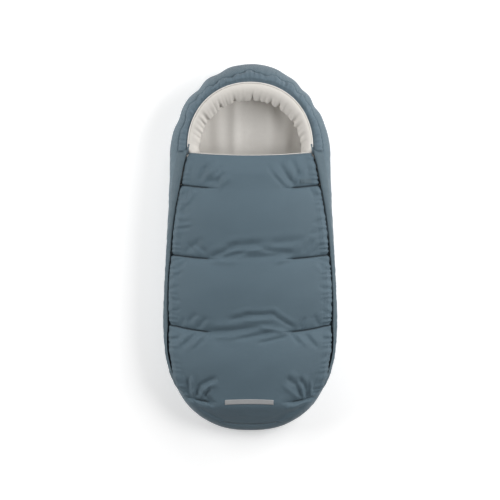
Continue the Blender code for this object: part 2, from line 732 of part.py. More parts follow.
def build():
    clear_scene()
    shell_blue = material("shell fabric", (0.105, 0.155, 0.190), 0.62)
    band_blue = material("hood band fabric", (0.135, 0.195, 0.235), 0.62)
    cover_blue = material("cover fabric", (0.095, 0.140, 0.168), 0.58)
    placket_blue = material("placket fabric", (0.085, 0.125, 0.150), 0.66)
    tape_blue = material("zip tape", (0.030, 0.045, 0.056), 0.80)
    coil_blue = material("zip coil", (0.022, 0.034, 0.043), 0.45)
    slider_dark = material("slider", (0.040, 0.050, 0.058), 0.38, 0.8)
    fleece = material("fleece", (0.72, 0.69, 0.65), 0.95)
    fleece_back = material("back lining fleece", (0.62, 0.60, 0.57), 0.95)
    wadding = material("wadding", (0.86, 0.86, 0.84), 0.95)
    elastic = material("elastic", (0.80, 0.80, 0.78), 0.85)
    grip = material("grip panel", (0.020, 0.024, 0.028), 0.75)
    reflective = material("reflective tape", (0.45, 0.46, 0.47), 0.35, 0.3)

    grid, normal = pod_grid()
    lining_depth = SHELL_THICKNESS + WADDING_THICKNESS + 2 * CLEARANCE
    shell = pod_layer("back_shell", grid, normal, 0, SHELL_THICKNESS, grid.shape[1], shell_blue)
    padding = pod_layer(
        "back_wadding", grid, normal, SHELL_THICKNESS + CLEARANCE, WADDING_THICKNESS, INNER_COLUMNS, wadding
    )
    lining = pod_layer("back_lining", grid, normal, lining_depth, LINING_THICKNESS, INNER_COLUMNS, fleece_back)

    slots = (
        ("harness_slot_right", SHOULDER_SLOT_X, SHOULDER_SLOT_Y),
        ("harness_slot_left", -SHOULDER_SLOT_X, SHOULDER_SLOT_Y),
        ("harness_slot_crotch", 0, CROTCH_SLOT_Y),
    )
    for name, x, y in slots:
        binding, cutter = slot_binding(name, x, y, tape_blue)
        for layer in (shell, padding, lining):
            joined(layer, cutter, "DIFFERENCE")

    box_between(
        "grip_panel", (-GRIP_HALF_WIDTH, GRIP_BOTTOM_Y, 0), (GRIP_HALF_WIDTH, GRIP_TOP_Y, GRIP_THICKNESS), grip
    )

    hood_places = list(range(-HOOD_STATIONS, HOOD_STATIONS + 1))
    wall_trim(
        "hood_band", grid, normal, hood_places, 0, BAND_WIDTH, TRIM_LIFT + ELASTIC_THICKNESS + BAND_CLEARANCE,
        BAND_THICKNESS, 2, band_blue, turn=HOOD_STATIONS,
    )
    wall_trim(
        "hood_elastic", grid, normal, hood_places, ELASTIC_FROM_RIM, ELASTIC_FROM_RIM + ELASTIC_WIDTH,
        TRIM_LIFT, ELASTIC_THICKNESS, 1, elastic, turn=HOOD_STATIONS,
    )

    skins, cores = collar_sections(grid, normal)
    loft("collar_fleece", skins, fleece)
    loft("collar_filling", cores, wadding)

    both_sides(
        "zip_placket",
        lambda name, finish: wall_trim(
            name, grid, normal, places_between(grid, POD_ZIP_TOP_Y, ZIP_END_Y), 0, PLACKET_WIDTH,
            TRIM_LIFT, PLACKET_THICKNESS, 3, finish,
        ),
        placket_blue,
    )
    both_sides("pod_zip_tape", lambda name, finish: pod_tape(name, grid, normal, finish), tape_blue)
    coil_end = COIL_GAP_HALF + COIL_WIDTH
    pod_top = POD_ZIP_TOP_Y - STOP_LENGTH - CLEARANCE
    pod_low = ZIP_END_Y + STOP_LENGTH + CLEARANCE
    both_sides(
        "pod_zip_coil",
        lambda name, finish: flat_run(
            name, zip_rows(pod_top, pod_low), COIL_GAP_HALF, coil_end, CLEARANCE, COIL_TOP, finish
        ),
        coil_blue,
    )
    for label, y in (("zip_top_stop", POD_ZIP_TOP_Y), ("zip_bottom_stop", ZIP_END_Y + STOP_LENGTH)):
        both_sides(
            label,
            lambda name, finish, y=y: flat_run(
                name, (y, y - STOP_LENGTH), COIL_GAP_HALF, coil_end, CLEARANCE, COIL_TOP, finish
            ),
            slider_dark,
        )

    edge_gap = SEAM_GAP / 2
    chest = ((FLAP_SEAM_CENTRE_Y - edge_gap, FLAP_SEAM_SIDE_Y - edge_gap), (UPPER_SEAM_CENTRE_Y, UPPER_SEAM_SIDE_Y))
    middle = (chest[1], (LOWER_SEAM_CENTRE_Y, LOWER_SEAM_SIDE_Y))
    leg = (middle[1], (FOOT_SEAM_CENTRE_Y + edge_gap, FOOT_SEAM_SIDE_Y + edge_gap))
    rise_low = (COVER_RISE_AT_CHEST + COVER_RISE_AT_FOOT) / 2
    chambers = (
        ("upper", chest, (COVER_RISE_AT_CHEST, COVER_RISE_AT_CHEST)),
        ("middle", middle, (COVER_RISE_AT_CHEST, rise_low)),
        ("lower", leg, (rise_low, COVER_RISE_AT_FOOT)),
    )
    all_rows = []
    for label, (start, end), rises in chambers:
        rows = chamber_rows(start, end, CHAMBER_ROW_SHARES, CHAMBER_PUFF, rises)
        top, bottom = cover_surfaces(rows)
        pad_between("cover_wadding_" + label, top, bottom, wadding)
        all_rows += rows if not all_rows else rows[1:]
    top, bottom = cover_surfaces(all_rows)
    face_sheet("cover_face", top, cover_blue)
    lining_sheet("cover_lining", bottom, fleece)
    cover_axis_z = top[-1, :, 2].max() + COVER_AXIS_LIFT
    print("cover hinge", FOOT_SEAM_CENTRE_Y, round(float(cover_axis_z), 5))

    flap_top = (TOP_EDGE_CENTRE_Y, TOP_EDGE_SIDE_Y)
    flap_end = (FLAP_SEAM_CENTRE_Y + edge_gap, FLAP_SEAM_SIDE_Y + edge_gap)
    flap_rows = chamber_rows(flap_top, flap_end, FLAP_ROW_SHARES, FLAP_PUFF, (COVER_RISE_AT_TOP, COVER_RISE_AT_CHEST))
    flap_top_grid, flap_bottom_grid = cover_surfaces(flap_rows)
    face_sheet("flap_face", flap_top_grid, cover_blue)
    lining_sheet("flap_lining", flap_bottom_grid, fleece)
    pad_between("flap_wadding", flap_top_grid, flap_bottom_grid, wadding)
    flap_axis_z = flap_top_grid[-1, :, 2].max() + FLAP_AXIS_LIFT
    print("flap hinge", FLAP_SEAM_CENTRE_Y, round(float(flap_axis_z), 5))

    hem_top, hem_low = flap_top_grid[0], flap_bottom_grid[0]
    over = np.array([0, 0, BINDING_OVERLAP])
    ahead = np.array([0, 1, 0])
    sections = [
        [low + ahead * CLEARANCE, low - over + ahead * BINDING_DEPTH / 2, low + ahead * BINDING_DEPTH,
         high + ahead * BINDING_DEPTH, high + over + ahead * BINDING_DEPTH / 2, high + ahead * CLEARANCE]
        for low, high in zip(hem_low[1:-1], hem_top[1:-1])
    ]
    loft("flap_binding", sections, fleece)

    cover_pieces = (
        ("flap", COVER_ZIP_TOP_Y, FLAP_SEAM_SIDE_Y + edge_gap),
        ("cover", FLAP_SEAM_SIDE_Y - edge_gap, ZIP_END_Y),
    )
    for label, y0, y1 in cover_pieces:
        both_sides(
            label + "_zip_tape",
            lambda name, finish, y0=y0, y1=y1: flat_run(
                name, zip_rows(y0, y1), -COVER_TAPE_REACH, -TAPE_GAP_HALF, -TAPE_THICKNESS, 0, finish
            ),
            tape_blue,
        )
        both_sides(
            label + "_zip_coil",
            lambda name, finish, y0=y0, y1=y1: flat_run(
                name, zip_rows(y0, y1), -coil_end, -COIL_GAP_HALF, CLEARANCE, COIL_TOP, finish
            ),
            coil_blue,
        )

    make_toe(grid, cover_blue, fleece, wadding, reflective)
    strip_on(flap_top_grid, "side_tag", TAG_CENTRE, TAG_LENGTH, TAG_WIDTH, TAG_THICKNESS, TAG_LIFT, placket_blue)

    cover_turn = pivot("cover_axis", (0, FOOT_SEAM_CENTRE_Y, cover_axis_z), named("cover_"))
    pivot("flap_axis", (0, FLAP_SEAM_CENTRE_Y, flap_axis_z), named("flap_", "side_tag"), cover_turn)
    arc_centre = np.array([ZIP_ARC_HALF_WIDTH - ZIP_ARC_RADIUS, FOOT_CENTRE_Y, zip_height(FOOT_CENTRE_Y)])
    for side, word in ((1, "right"), (-1, "left")):
        zip_slider("zip_slider_" + word, side, slider_dark)
        zip_pull("zip_pull_" + word, side, slider_dark)
        across, _, up, origin = slider_frame(side)
        eye = origin + up * AXIS_UP
        travel = pivot("slider_axis_" + word, arc_centre * (side, 1, 1), named("zip_slider_" + word))
        pivot("pull_axis_" + word, eye, named("zip_pull_" + word), travel)
        print("pull axis", word, np.round(eye, 5), np.round(across, 5))
    print("slider arc centre", np.round(arc_centre, 5), "normal", -math.sin(ZIP_TILT), math.cos(ZIP_TILT))


def make_toe(grid, cover_blue, fleece, wadding, reflective):
    """Toe cap from the foot seam down to the rim of the pod's toe, with the reflective strip on it."""
    half = HOOD_STATIONS + ZIP_STATIONS + TOE_STATIONS + 1
    rim = grid[:half, -1]
    first = station_at(FOOT_SEAM_SIDE_Y - SEAM_GAP / 2, grid)
    last = np.interp(-TOE_END_HALF_WIDTH, -rim[int(first):, 0], np.arange(int(first), half))
    rows = []
    for share in TOE_ROW_SHARES:
        edge = at_station(rim, first + (last - first) * share).copy()
        inward = unit(np.array([edge[0], edge[1] - FOOT_CENTRE_Y]))
        edge[:2] -= inward * 3 * CLEARANCE
        edge[2] -= SHELL_THICKNESS + CLEARANCE
        start_y, end_y = FOOT_SEAM_CENTRE_Y - SEAM_GAP / 2, rim[-1, 1] + 2 * CLEARANCE
        centre_y = start_y + (end_y - start_y) * share
        swell = math.sin(math.pi * share) ** CHAMBER_PUFF_POWER if 0 < share < 1 else 0
        rise = COVER_RISE_AT_FOOT + (TOE_RISE_AT_SEAM - COVER_RISE_AT_FOOT) * share
        valley = CHAMBER_PUFF * CENTRE_VALLEY_SHARE * (1 - share) * (1 - swell)
        rows.append((centre_y, edge, rise, TOE_PUFF * swell, valley))
    top, bottom = cover_surfaces(rows)
    toe_rim = rim[int(first):][::-1]
    for sheet in (top, bottom):
        sheet[-1, :, 1] = np.interp(np.abs(sheet[-1, :, 0]), toe_rim[:, 0], toe_rim[:, 1]) + 2 * CLEARANCE
    face_sheet("toe_face", top, cover_blue)
    pad_between("toe_wadding", top, bottom, wadding)
    inner = bottom[:, 1:-1]
    inner_rows = np.array([between_rows(inner, p) for p in (0, 1, 2, 3, len(inner) - 1.5)])
    lining_sheet("toe_lining", inner_rows, fleece)
    strip_on(
        top, "reflective_strip", (0, STRIP_CENTRE_Y), STRIP_LENGTH, STRIP_WIDTH, STRIP_THICKNESS, TRIM_LIFT, reflective
    )


def strip_on(top, name, centre, length, width, thickness, lift, finish):
    """A thin strip laid over a grid of the cover, following its columns and its height."""
    xs = np.unique(np.concatenate([
        [centre[0] - length / 2, centre[0] + length / 2],
        [x for x in top[len(top) // 2, :, 0] if abs(x - centre[0]) < length / 2],
    ]))
    low_y, high_y = centre[1] - width / 2, centre[1] + width / 2
    row_ys = [np.interp(centre[0], row[:, 0], row[:, 1]) for row in top]
    ys = np.array(sorted([low_y, high_y] + [y for y in row_ys if low_y < y < high_y]))
    under = np.zeros((len(ys), len(xs), 3))
    for r, y in enumerate(ys):
        for c, x in enumerate(xs):
            under[r, c] = (x, y, height_on(top, x, y) + lift)
    slab(name, under + np.array([0, 0, thickness]), under, finish)


def height_on(top, x, y):
    """Height of a grid's upper face at (x, y), between its nearest rows."""
    line = []
    for row in top:
        order = np.argsort(row[:, 0])
        line.append((np.interp(x, row[order, 0], row[order, 1]), np.interp(x, row[order, 0], row[order, 2])))
    line = sorted(line)
    return np.interp(y, [p[0] for p in line], [p[1] for p in line])


def pivot(name, position, items, parent=None):
    """An empty on a joint's axis that carries the pieces which turn about it."""
    empty = bpy.data.objects.new(name, None)
    bpy.context.scene.collection.objects.link(empty)
    position = Vector(position)
    empty.parent = parent
    empty.location = position - parent.location if parent else position
    for item in items:
        item.parent = empty
        item.location = -position
    return empty


def named(*starts):
    return [item for item in bpy.data.objects if item.name.startswith(starts)]


build()
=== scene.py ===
import json
import math

import bpy
import numpy as np
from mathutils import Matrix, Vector

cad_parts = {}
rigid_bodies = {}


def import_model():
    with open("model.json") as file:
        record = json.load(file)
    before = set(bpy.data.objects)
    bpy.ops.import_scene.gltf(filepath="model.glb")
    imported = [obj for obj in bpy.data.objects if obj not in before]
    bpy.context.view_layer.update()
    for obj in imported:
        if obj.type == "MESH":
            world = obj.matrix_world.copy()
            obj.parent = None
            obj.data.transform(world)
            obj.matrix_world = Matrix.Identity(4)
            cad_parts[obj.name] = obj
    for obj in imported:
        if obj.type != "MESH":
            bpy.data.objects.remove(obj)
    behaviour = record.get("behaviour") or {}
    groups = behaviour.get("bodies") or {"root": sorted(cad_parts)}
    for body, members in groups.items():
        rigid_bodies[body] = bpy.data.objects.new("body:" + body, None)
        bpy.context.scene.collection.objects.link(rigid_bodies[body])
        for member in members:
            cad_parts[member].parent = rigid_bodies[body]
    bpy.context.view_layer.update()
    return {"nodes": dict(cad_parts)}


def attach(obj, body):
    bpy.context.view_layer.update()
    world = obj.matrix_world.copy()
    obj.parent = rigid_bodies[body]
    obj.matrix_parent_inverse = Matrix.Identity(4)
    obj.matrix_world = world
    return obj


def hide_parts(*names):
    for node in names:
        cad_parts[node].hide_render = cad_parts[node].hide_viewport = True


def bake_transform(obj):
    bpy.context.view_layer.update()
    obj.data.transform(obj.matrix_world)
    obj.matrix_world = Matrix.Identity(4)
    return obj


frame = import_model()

bl_info = {
    "name": "Stroller footmuff",
    "version": (1, 0, 0),
    "blender": (4, 5, 0),
    "location": "3D View > Sidebar > Footmuff",
    "description": "Quilted pushchair footmuff with a gathered hood and a zip-off cover",
    "category": "Add Mesh",
}

# All lengths are metres. Outline of the pod seen from above, as the solids have it
HEAD_HALF_WIDTH, HEAD_REACH, HEAD_CENTRE_Y, HEAD_POWER = 0.208, 0.260, 0.2145, 2.05
FOOT_HALF_WIDTH, FOOT_REACH, FOOT_CENTRE_Y, FOOT_POWER = 0.226, 0.299, -0.1755, 2.4
# Its wall, from the base up to the rim, and its layers with the gap between two of them
BASE = 0.0015
BASE_CURVE_WIDTH = 0.038
WIDEST_HEIGHT = 0.045
CROWN_RIM_HEIGHT, TOE_RIM_HEIGHT, TOE_RIM_INSET = 0.120, 0.066, 0.0156
RIM_HALF_WIDTH, RIM_REACH, RIM_CENTRE_Y, RIM_POWER = 0.1655, 0.1701, 0.262, 2.1
SHELL, WADDING, LINING, GAP = 0.0025, 0.012, 0.0025, 0.0003
FLOOR = BASE + SHELL + WADDING + LINING + 2 * GAP

# Zips: a long arc in a plane that falls towards the foot
ZIP_RADIUS, ZIP_HALF_WIDTH, ZIP_INSET, ZIP_END_Y = 1.820, 0.2137, 0.009, -0.365
ZIP_HIGH, ZIP_LOW = 0.1056, 0.0815
ZIP_TO_POD, ZIP_TO_COVER = 0.0043, 0.0050
POD_ZIP_TOP_Y, COVER_ZIP_TOP_Y = 0.2530, 0.236
SLOPE = (ZIP_HIGH - ZIP_LOW) / (RIM_CENTRE_Y - ZIP_END_Y)
TILT = math.atan(SLOPE)

# Rows of the cover: y where the seam's line would cross the middle, y at the zip
TOP_EDGE = (0.2387, 0.2470)
FLAP_SEAM = (0.1524, 0.1630)
UPPER_SEAM = (-0.0309, -0.0179)
LOWER_SEAM = (-0.2216, -0.1989)
FOOT_SEAM = (-0.4053, -0.3835)
FLAP_HINGE_Y, FOOT_HINGE_Y = 0.1547, -0.4001
TOE_END_HALF_WIDTH = 0.070
# Harness slots: the middle of each, the opening, and how far the cloth is cut back for its binding
SLOTS = ((0.060, 0.175), (-0.060, 0.175), (0.0, -0.045))
SLOT_SIZE = (0.055, 0.010)
SLOT_BINDING = 0.0024

# Photographed gathers of the hood, its band and the fleece roll: degrees from the crown, left negative, and strength
HOOD_GATHERS = ((-57.5, 0.75), (-34.3, 1.2), (-19, 1.0), (-6, 0.2), (22, 0.55), (34.3, 1.05), (47.3, 1.15),
                (60, 0.15))
HOOD_GATHER_WIDTH, BAND_PLEAT_WIDTH = 5.2, 2.6
BAND_PLEATS = ((-69, 0.35), (-60, 0.55), (-52.3, 1.0), (-44.6, 1.0), (-38, 0.9), (-27, 0.5), (-12, 0.35),
               (10, 0.3), (22.9, 0.85), (33, 0.5), (46.9, 0.9), (60.6, 0.55), (69, 0.35))
# Photographed line of the band's seam: degrees from the crown, share of the way from the rim to the outline
BAND_SEAM = ((-80, 0.470), (-66, 0.475), (-59.3, 0.433), (-55.2, 0.420), (-53, 0.501), (-51.2, 0.555),
             (-48, 0.540), (-45.2, 0.625), (-44.1, 0.600), (-42, 0.508), (-39.4, 0.450), (-38.2, 0.520),
             (-37.1, 0.607), (-35.9, 0.613), (-34.4, 0.573), (-33, 0.519), (-30.6, 0.500), (-28.7, 0.525),
             (-27.3, 0.497), (-25.4, 0.402), (-24, 0.345), (-22.2, 0.358), (-20.8, 0.450), (-19, 0.510),
             (-17.3, 0.524), (-15.5, 0.471), (-13.3, 0.390), (-11.1, 0.335), (-9.3, 0.405), (-7.6, 0.480),
             (-5.8, 0.448), (-4.1, 0.455), (-2.3, 0.551), (-0.5, 0.616), (1.4, 0.547), (3.2, 0.455), (5.4, 0.440),
             (7.6, 0.406), (9.3, 0.370), (11.1, 0.410), (13.3, 0.511), (15.1, 0.533), (17.3, 0.504), (19.5, 0.468),
             (21.3, 0.500), (23.6, 0.586), (25.9, 0.668), (27.7, 0.648), (29.6, 0.556), (31, 0.482), (33, 0.493),
             (34.4, 0.565), (36.4, 0.632), (37.9, 0.609), (39.4, 0.511), (41.5, 0.472), (43.6, 0.540),
             (45.7, 0.690), (47.3, 0.680), (49.5, 0.583), (51.2, 0.462), (54, 0.445), (58.1, 0.500), (66, 0.508),
             (80, 0.500))
ROLL_GATHERS = ((-89, 0.45), (-82, 0.4), (-77, 0.6), (-70.5, 0.5), (-65.6, 0.8), (-59.3, 1.0), (-50, 0.12),
                (-37.5, 1.0), (-29, 0.15), (-19.2, 1.0), (-9, 0.12), (2.5, 0.9), (11.3, 0.35), (18, 0.2),
                (25.5, 0.8), (36.2, 1.0), (52, 0.12), (61.5, 0.9), (69.5, 0.8), (75, 0.3), (81, 0.6), (87.5, 0.5))


# The photographed view: where the object's middle is, in the view's units, and metres to a unit
PHOTO_MIDDLE = (250.2, 247.5)
PHOTO_SCALE = 0.0026

UP = np.array([0, 0, 1.0])


def metres_from_photo(px, py):
    """Metres in the object's plane of a point of the photographed view."""
    return (px - PHOTO_MIDDLE[0]) * PHOTO_SCALE, (PHOTO_MIDDLE[1] - py) * PHOTO_SCALE


def smooth(value, low, high):
    """Smooth step of a value from 0 at low to 1 at high: 3t2 - 2t3."""
    t = np.clip((np.asarray(value, float) - low) / (high - low), 0, 1)
    return t * t * (3 - 2 * t)


def bell(offset, width):
    """Bell curve, 1 where the offset is nothing: e to the minus square of offset over width."""
    return np.exp(-((offset / width) ** 2))


def unit(vectors):
    """Vectors over their own lengths."""
    return vectors / np.maximum(np.linalg.norm(vectors, axis=-1, keepdims=True), 1e-12)


def outline_half_width(y):
    """Half width at y: a straight taper times a higher-power ellipse at each end."""
    y = np.asarray(y, float)
    head = np.clip((y - HEAD_CENTRE_Y) / HEAD_REACH, 0, 1)
    foot = np.clip((FOOT_CENTRE_Y - y) / FOOT_REACH, 0, 1)
    up = np.clip((y - FOOT_CENTRE_Y) / (HEAD_CENTRE_Y - FOOT_CENTRE_Y), 0, 1)
    width = FOOT_HALF_WIDTH + (HEAD_HALF_WIDTH - FOOT_HALF_WIDTH) * up
    return width * (1 - head**HEAD_POWER) ** (1 / HEAD_POWER) * (1 - foot**FOOT_POWER) ** (1 / FOOT_POWER)


def zip_height(y):
    """Height of the zips at y: an even fall from the hood to the foot."""
    return BASE + ZIP_LOW + SLOPE * (np.asarray(y, float) - ZIP_END_Y)


def zip_line(y):
    """Middle of the right zip: a long arc in a tilted plane, then a fixed inset from the outline."""
    y = np.asarray(y, float)
    along = (y - FOOT_CENTRE_Y) / math.cos(TILT)
    arc = ZIP_HALF_WIDTH - ZIP_RADIUS + np.sqrt(ZIP_RADIUS**2 - along**2)
    return np.stack([np.minimum(arc, outline_half_width(y) - ZIP_INSET), y, zip_height(y)], -1)


def zip_point(y, outward, up):
    """A point beside the right zip, outward in the zip's plane and up off it."""
    y = np.asarray(y, float)
    along = unit(zip_line(y + 1e-4) - zip_line(y - 1e-4))
    up_axis = np.array([0, -math.sin(TILT), math.cos(TILT)])
    side = unit(np.cross(along, up_axis))
    return zip_line(y) + side * np.asarray(outward)[..., None] + up_axis * np.asarray(up)[..., None]


def super_arc(angle, half_width, reach, power):
    """Quarter of a higher-power ellipse from its tip: sine and cosine, each to the power of 2 over the ellipse's."""
    return half_width * np.abs(np.sin(angle)) ** (2 / power), reach * np.abs(np.cos(angle)) ** (2 / power)


def half_ring(hood, zips, toe):
    """Outline and rim of the right half, from the crown to the toe, with so many steps in each stretch."""
    share = np.linspace(0, 1, hood + 1)
    last = math.acos(((RIM_CENTRE_Y - HEAD_CENTRE_Y) / HEAD_REACH) ** (HEAD_POWER / 2))
    x, y = super_arc(share * last, HEAD_HALF_WIDTH, HEAD_REACH, HEAD_POWER)
    hood_out = np.stack([x, HEAD_CENTRE_Y + y], -1)
    turn = share * math.pi / 2
    x, y = super_arc(turn, RIM_HALF_WIDTH, RIM_REACH, RIM_POWER)
    corner = zip_point(RIM_CENTRE_Y, ZIP_TO_POD, GAP + SHELL)
    z = corner[2] + (BASE + CROWN_RIM_HEIGHT - corner[2]) * np.cos(turn) ** 2
    hood_rim = np.stack([x, RIM_CENTRE_Y + y, z], -1)
    zip_y = np.linspace(RIM_CENTRE_Y, ZIP_END_Y, zips + 1)[1:]
    zip_out = np.stack([outline_half_width(zip_y), zip_y], -1)
    zip_rim = zip_point(zip_y, ZIP_TO_POD, GAP + SHELL)
    start = math.asin(((FOOT_CENTRE_Y - ZIP_END_Y) / FOOT_REACH) ** (FOOT_POWER / 2))
    share = np.linspace(0, 1, toe + 1)[1:]
    angle = math.pi / 2 - start - share * (math.pi / 2 - start)
    x, y = super_arc(angle, FOOT_HALF_WIDTH, FOOT_REACH, FOOT_POWER)
    toe_out = np.stack([x, FOOT_CENTRE_Y - y], -1)
    normal = unit(np.stack([np.sin(angle), -np.cos(angle)], -1) / np.array([FOOT_HALF_WIDTH, FOOT_REACH]))
    first = np.linalg.norm(zip_rim[-1, :2] - zip_out[-1])
    blend = share**2 * (3 - 2 * share)
    toe_plan = toe_out - normal * (first + (TOE_RIM_INSET - first) * blend)[:, None]
    toe_z = zip_rim[-1, 2] + (BASE + TOE_RIM_HEIGHT - zip_rim[-1, 2]) * blend
    return (np.concatenate([hood_out, zip_out, toe_out]),
            np.concatenate([hood_rim, zip_rim, np.column_stack([toe_plan, toe_z])]))


def whole(half):
    """The right half and its mirror image, as one closed ring."""
    left = half[-2:0:-1].copy()
    left[:, 0] *= -1
    return np.concatenate([half, left])


def upper_wall(out, rim, angle):
    """Grid of the wall's upper part: at each station a quarter ellipse from the widest line, at angle 0, up to the
    rim. angle has a row for each station, or one row for all."""
    plan = out[:, None] + (rim[:, None, :2] - out[:, None]) * (1 - np.cos(angle))[..., None]
    height = BASE + WIDEST_HEIGHT + (rim[:, 2:] - BASE - WIDEST_HEIGHT) * np.sin(angle)
    return np.dstack([plan, height])


def wall(out, rim, lower, upper):
    """Pod wall at each station: a quarter ellipse out from the flat base to the widest line, then one up to the
    rim. lower and upper are their angles. Returns the grid and its outward normals."""
    along = np.roll(out, -1, 0) - np.roll(out, 1, 0)
    inward = unit(np.stack([along[:, 1], -along[:, 0]], -1))[:, None]
    low_plan = out[:, None] + inward * BASE_CURVE_WIDTH * (1 - np.sin(lower))[None, :, None]
    low_z = np.broadcast_to(BASE + WIDEST_HEIGHT * (1 - np.cos(lower)), low_plan.shape[:2])
    grid = np.concatenate([np.dstack([low_plan, low_z]), upper_wall(out, rim, upper[None])], 1)
    round_ring = np.roll(grid, -1, 0) - np.roll(grid, 1, 0)
    normal = unit(np.cross(np.gradient(grid, axis=1), round_ring))
    outward = np.column_stack([out - rim[:, :2], np.zeros(len(out))])
    normal *= np.sign((normal[:, len(lower) + 1] * outward).sum(-1))[:, None, None]
    return grid, normal


def hood_angle(points):
    """Degrees round the hood from its crown, left negative."""
    return np.degrees(np.arctan2(points[..., 0], points[..., 1] - HEAD_CENTRE_Y))


def gathers(angle, table, width):
    """Sum of bell-shaped creases at the angles of a table, each with its strength."""
    total = np.zeros(np.shape(angle))
    for centre, strength in table:
        total += strength * bell(angle - centre, width)
    return total


def band_seam_angle(theta):
    """Wall angle of the wavy seam between the hood's band and its shell: the arc cosine of the photographed share of
    the way from rim to outline."""
    degrees, share = np.array(BAND_SEAM).T
    return np.arccos(np.interp(theta, degrees, share))


def wall_relief(grid, wall_angle, theta):
    """How far the shell stands out of its even form: lobes between the gathers, a step and a groove along the band's
    seam, and slack ripples down the sides. wall_angle is 0 at the widest line and a right angle at the rim, and theta
    is the angle round the hood in degrees."""
    y, z = grid[..., 1], grid[..., 2]
    in_hood = smooth(y, 0.19, 0.27)
    off_base = smooth(z, 0.012, 0.036)
    lobes = props().gather_depth * (0.30 - gathers(theta, HOOD_GATHERS, HOOD_GATHER_WIDTH))
    rim_fade = 1 - 0.75 * smooth(wall_angle, 1.15, 1.5)
    fine = 0.0005 * np.sin(theta * 2.1 + 2.0 * np.sin(theta * 0.37)) * smooth(wall_angle, 0.3, 1.0)
    seam = wall_angle - band_seam_angle(theta)
    at_seam = 0.0016 * smooth(-seam, 0.02, 0.11) - 0.0024 * bell(seam, 0.035)
    hood = in_hood * (lobes * rim_fade * off_base + fine + at_seam * smooth(z, 0.040, 0.055))
    side = 0.0009 * np.sin(y * 95 + 2.2 * np.sin(y * 23) + z * 60) * np.sin(y * 31 + 1.3)
    side += 0.0006 * np.sin(y * 210 + 3 * np.sin(y * 47 + 1) - z * 90) * smooth(z, 0.03, 0.09)
    return hood + side * off_base * (1 - in_hood)


def add_piece(name, points, faces, finish, painted_seam_shade=None):
    """A mesh object from arrays of points and corner lists, turned so that its faces point outwards. stitching is how
    dark each point is drawn as a sewn line, from 0 to 1."""
    points = np.asarray(points, np.float64).reshape(-1, 3)
    quads = np.asarray(faces, int)
    a, b, c, d = (points[quads[:, k]] for k in range(4))
    volume = np.einsum("ij,ij->i", a, np.cross(b, c)).sum() + np.einsum("ij,ij->i", a, np.cross(c, d)).sum()
    if volume < 0:
        quads = quads[:, ::-1]
    mesh = bpy.data.meshes.new(name)
    mesh.vertices.add(len(points))
    mesh.vertices.foreach_set("co", points.astype(np.float32).ravel())
    mesh.loops.add(quads.size)
    mesh.loops.foreach_set("vertex_index", quads.astype(np.int32).ravel())
    mesh.polygons.add(len(quads))
    mesh.polygons.foreach_set("loop_start", np.arange(0, quads.size, 4, dtype=np.int32))
    mesh.update(calc_edges=True)
    mesh.validate()
    if painted_seam_shade is not None:
        # the seam attribute holds painted shade for the creases along the seams
        mark = mesh.attributes.new("seam", "FLOAT", "POINT")
        mark.data.foreach_set("value", np.asarray(painted_seam_shade, np.float32).ravel())
    mesh.shade_smooth()
    piece = bpy.data.objects.new(name, mesh)
    bpy.context.scene.collection.objects.link(piece)
    mesh.materials.append(finish)
    return piece


def grid_faces(rows, columns, start=0, wrap=False):
    """Corner lists of a grid of rows and columns, joined round its columns where wrap is set."""
    index = start + np.arange(rows * columns).reshape(rows, columns)
    right = np.roll(index, -1, 1) if wrap else index[:, 1:]
    left = index if wrap else index[:, :-1]
    return np.stack([left[:-1], right[:-1], right[1:], left[1:]], -1).reshape(-1, 4)


def closed_sheet(top, bottom):
    """Points and faces of two equal grids joined along their four edges."""
    rows, columns = top.shape[:2]
    under = rows * columns
    points = np.concatenate([top.reshape(-1, 3), bottom.reshape(-1, 3)])
    upper = grid_faces(rows, columns)
    lower = grid_faces(rows, columns, under)[:, ::-1]
    index = np.arange(under).reshape(rows, columns)
    edge = np.concatenate([index[0], index[1:, -1], index[-1, -2::-1], index[-2:0:-1, 0]])
    after = np.roll(edge, -1)
    walls = np.stack([after, edge, edge + under, after + under], -1)
    return points, np.concatenate([upper, lower, walls])


def swept(sections):
    """Points and faces of a closed section carried along a path, with a middle point closing each end. The section
    has an even number of points."""
    count, size = sections.shape[:2]
    middles = np.stack([sections[0].mean(0), sections[-1].mean(0)])
    total = count * size
    caps = []
    for row, centre in ((0, total), (count - 1, total + 1)):
        ring = row * size + np.arange(size)
        pairs = ring.reshape(-1, 2)
        after = np.roll(ring, -2).reshape(-1, 2)[:, 0]
        cap = np.stack([pairs[:, 0], pairs[:, 1], after, np.full(len(pairs), centre)], -1)
        caps.append(cap if row else cap[:, ::-1])
    return (np.concatenate([sections.reshape(-1, 3), middles]),
            np.concatenate([grid_faces(count, size, wrap=True)] + caps))


def applied(piece):
    """Turns the piece's modifiers into its mesh."""
    bpy.context.view_layer.update()
    graph = bpy.context.evaluated_depsgraph_get()
    mesh = bpy.data.meshes.new_from_object(piece.evaluated_get(graph), depsgraph=graph)
    old = piece.data
    piece.modifiers.clear()
    piece.data = mesh
    bpy.data.meshes.remove(old)
    return piece


class Value:
    """A node socket that takes part in arithmetic by adding Math nodes."""

    def __init__(self, nodes, socket):
        self.nodes, self.socket = nodes, socket

    def math(self, operation, *others):
        return self.nodes.add("ShaderNodeMath", {"operation": operation}, (self, *others))

    def __add__(self, other):
        return self.math("ADD", other)

    def __mul__(self, other):
        return self.math("MULTIPLY", other)

    def __sub__(self, other):
        return self.math("SUBTRACT", other)

    def __rsub__(self, other):
        return self.nodes.add("ShaderNodeMath", {"operation": "SUBTRACT"}, (other, self))

    def sine(self):
        return self.math("SINE")

    def clipped(self, low, high):
        return self.math("MAXIMUM", low).math("MINIMUM", high)


# Rays that see the white background; the others only get the light of the air
SEEN_RAYS = ("Is Camera Ray", "Is Glossy Ray", "Is Transmission Ray")


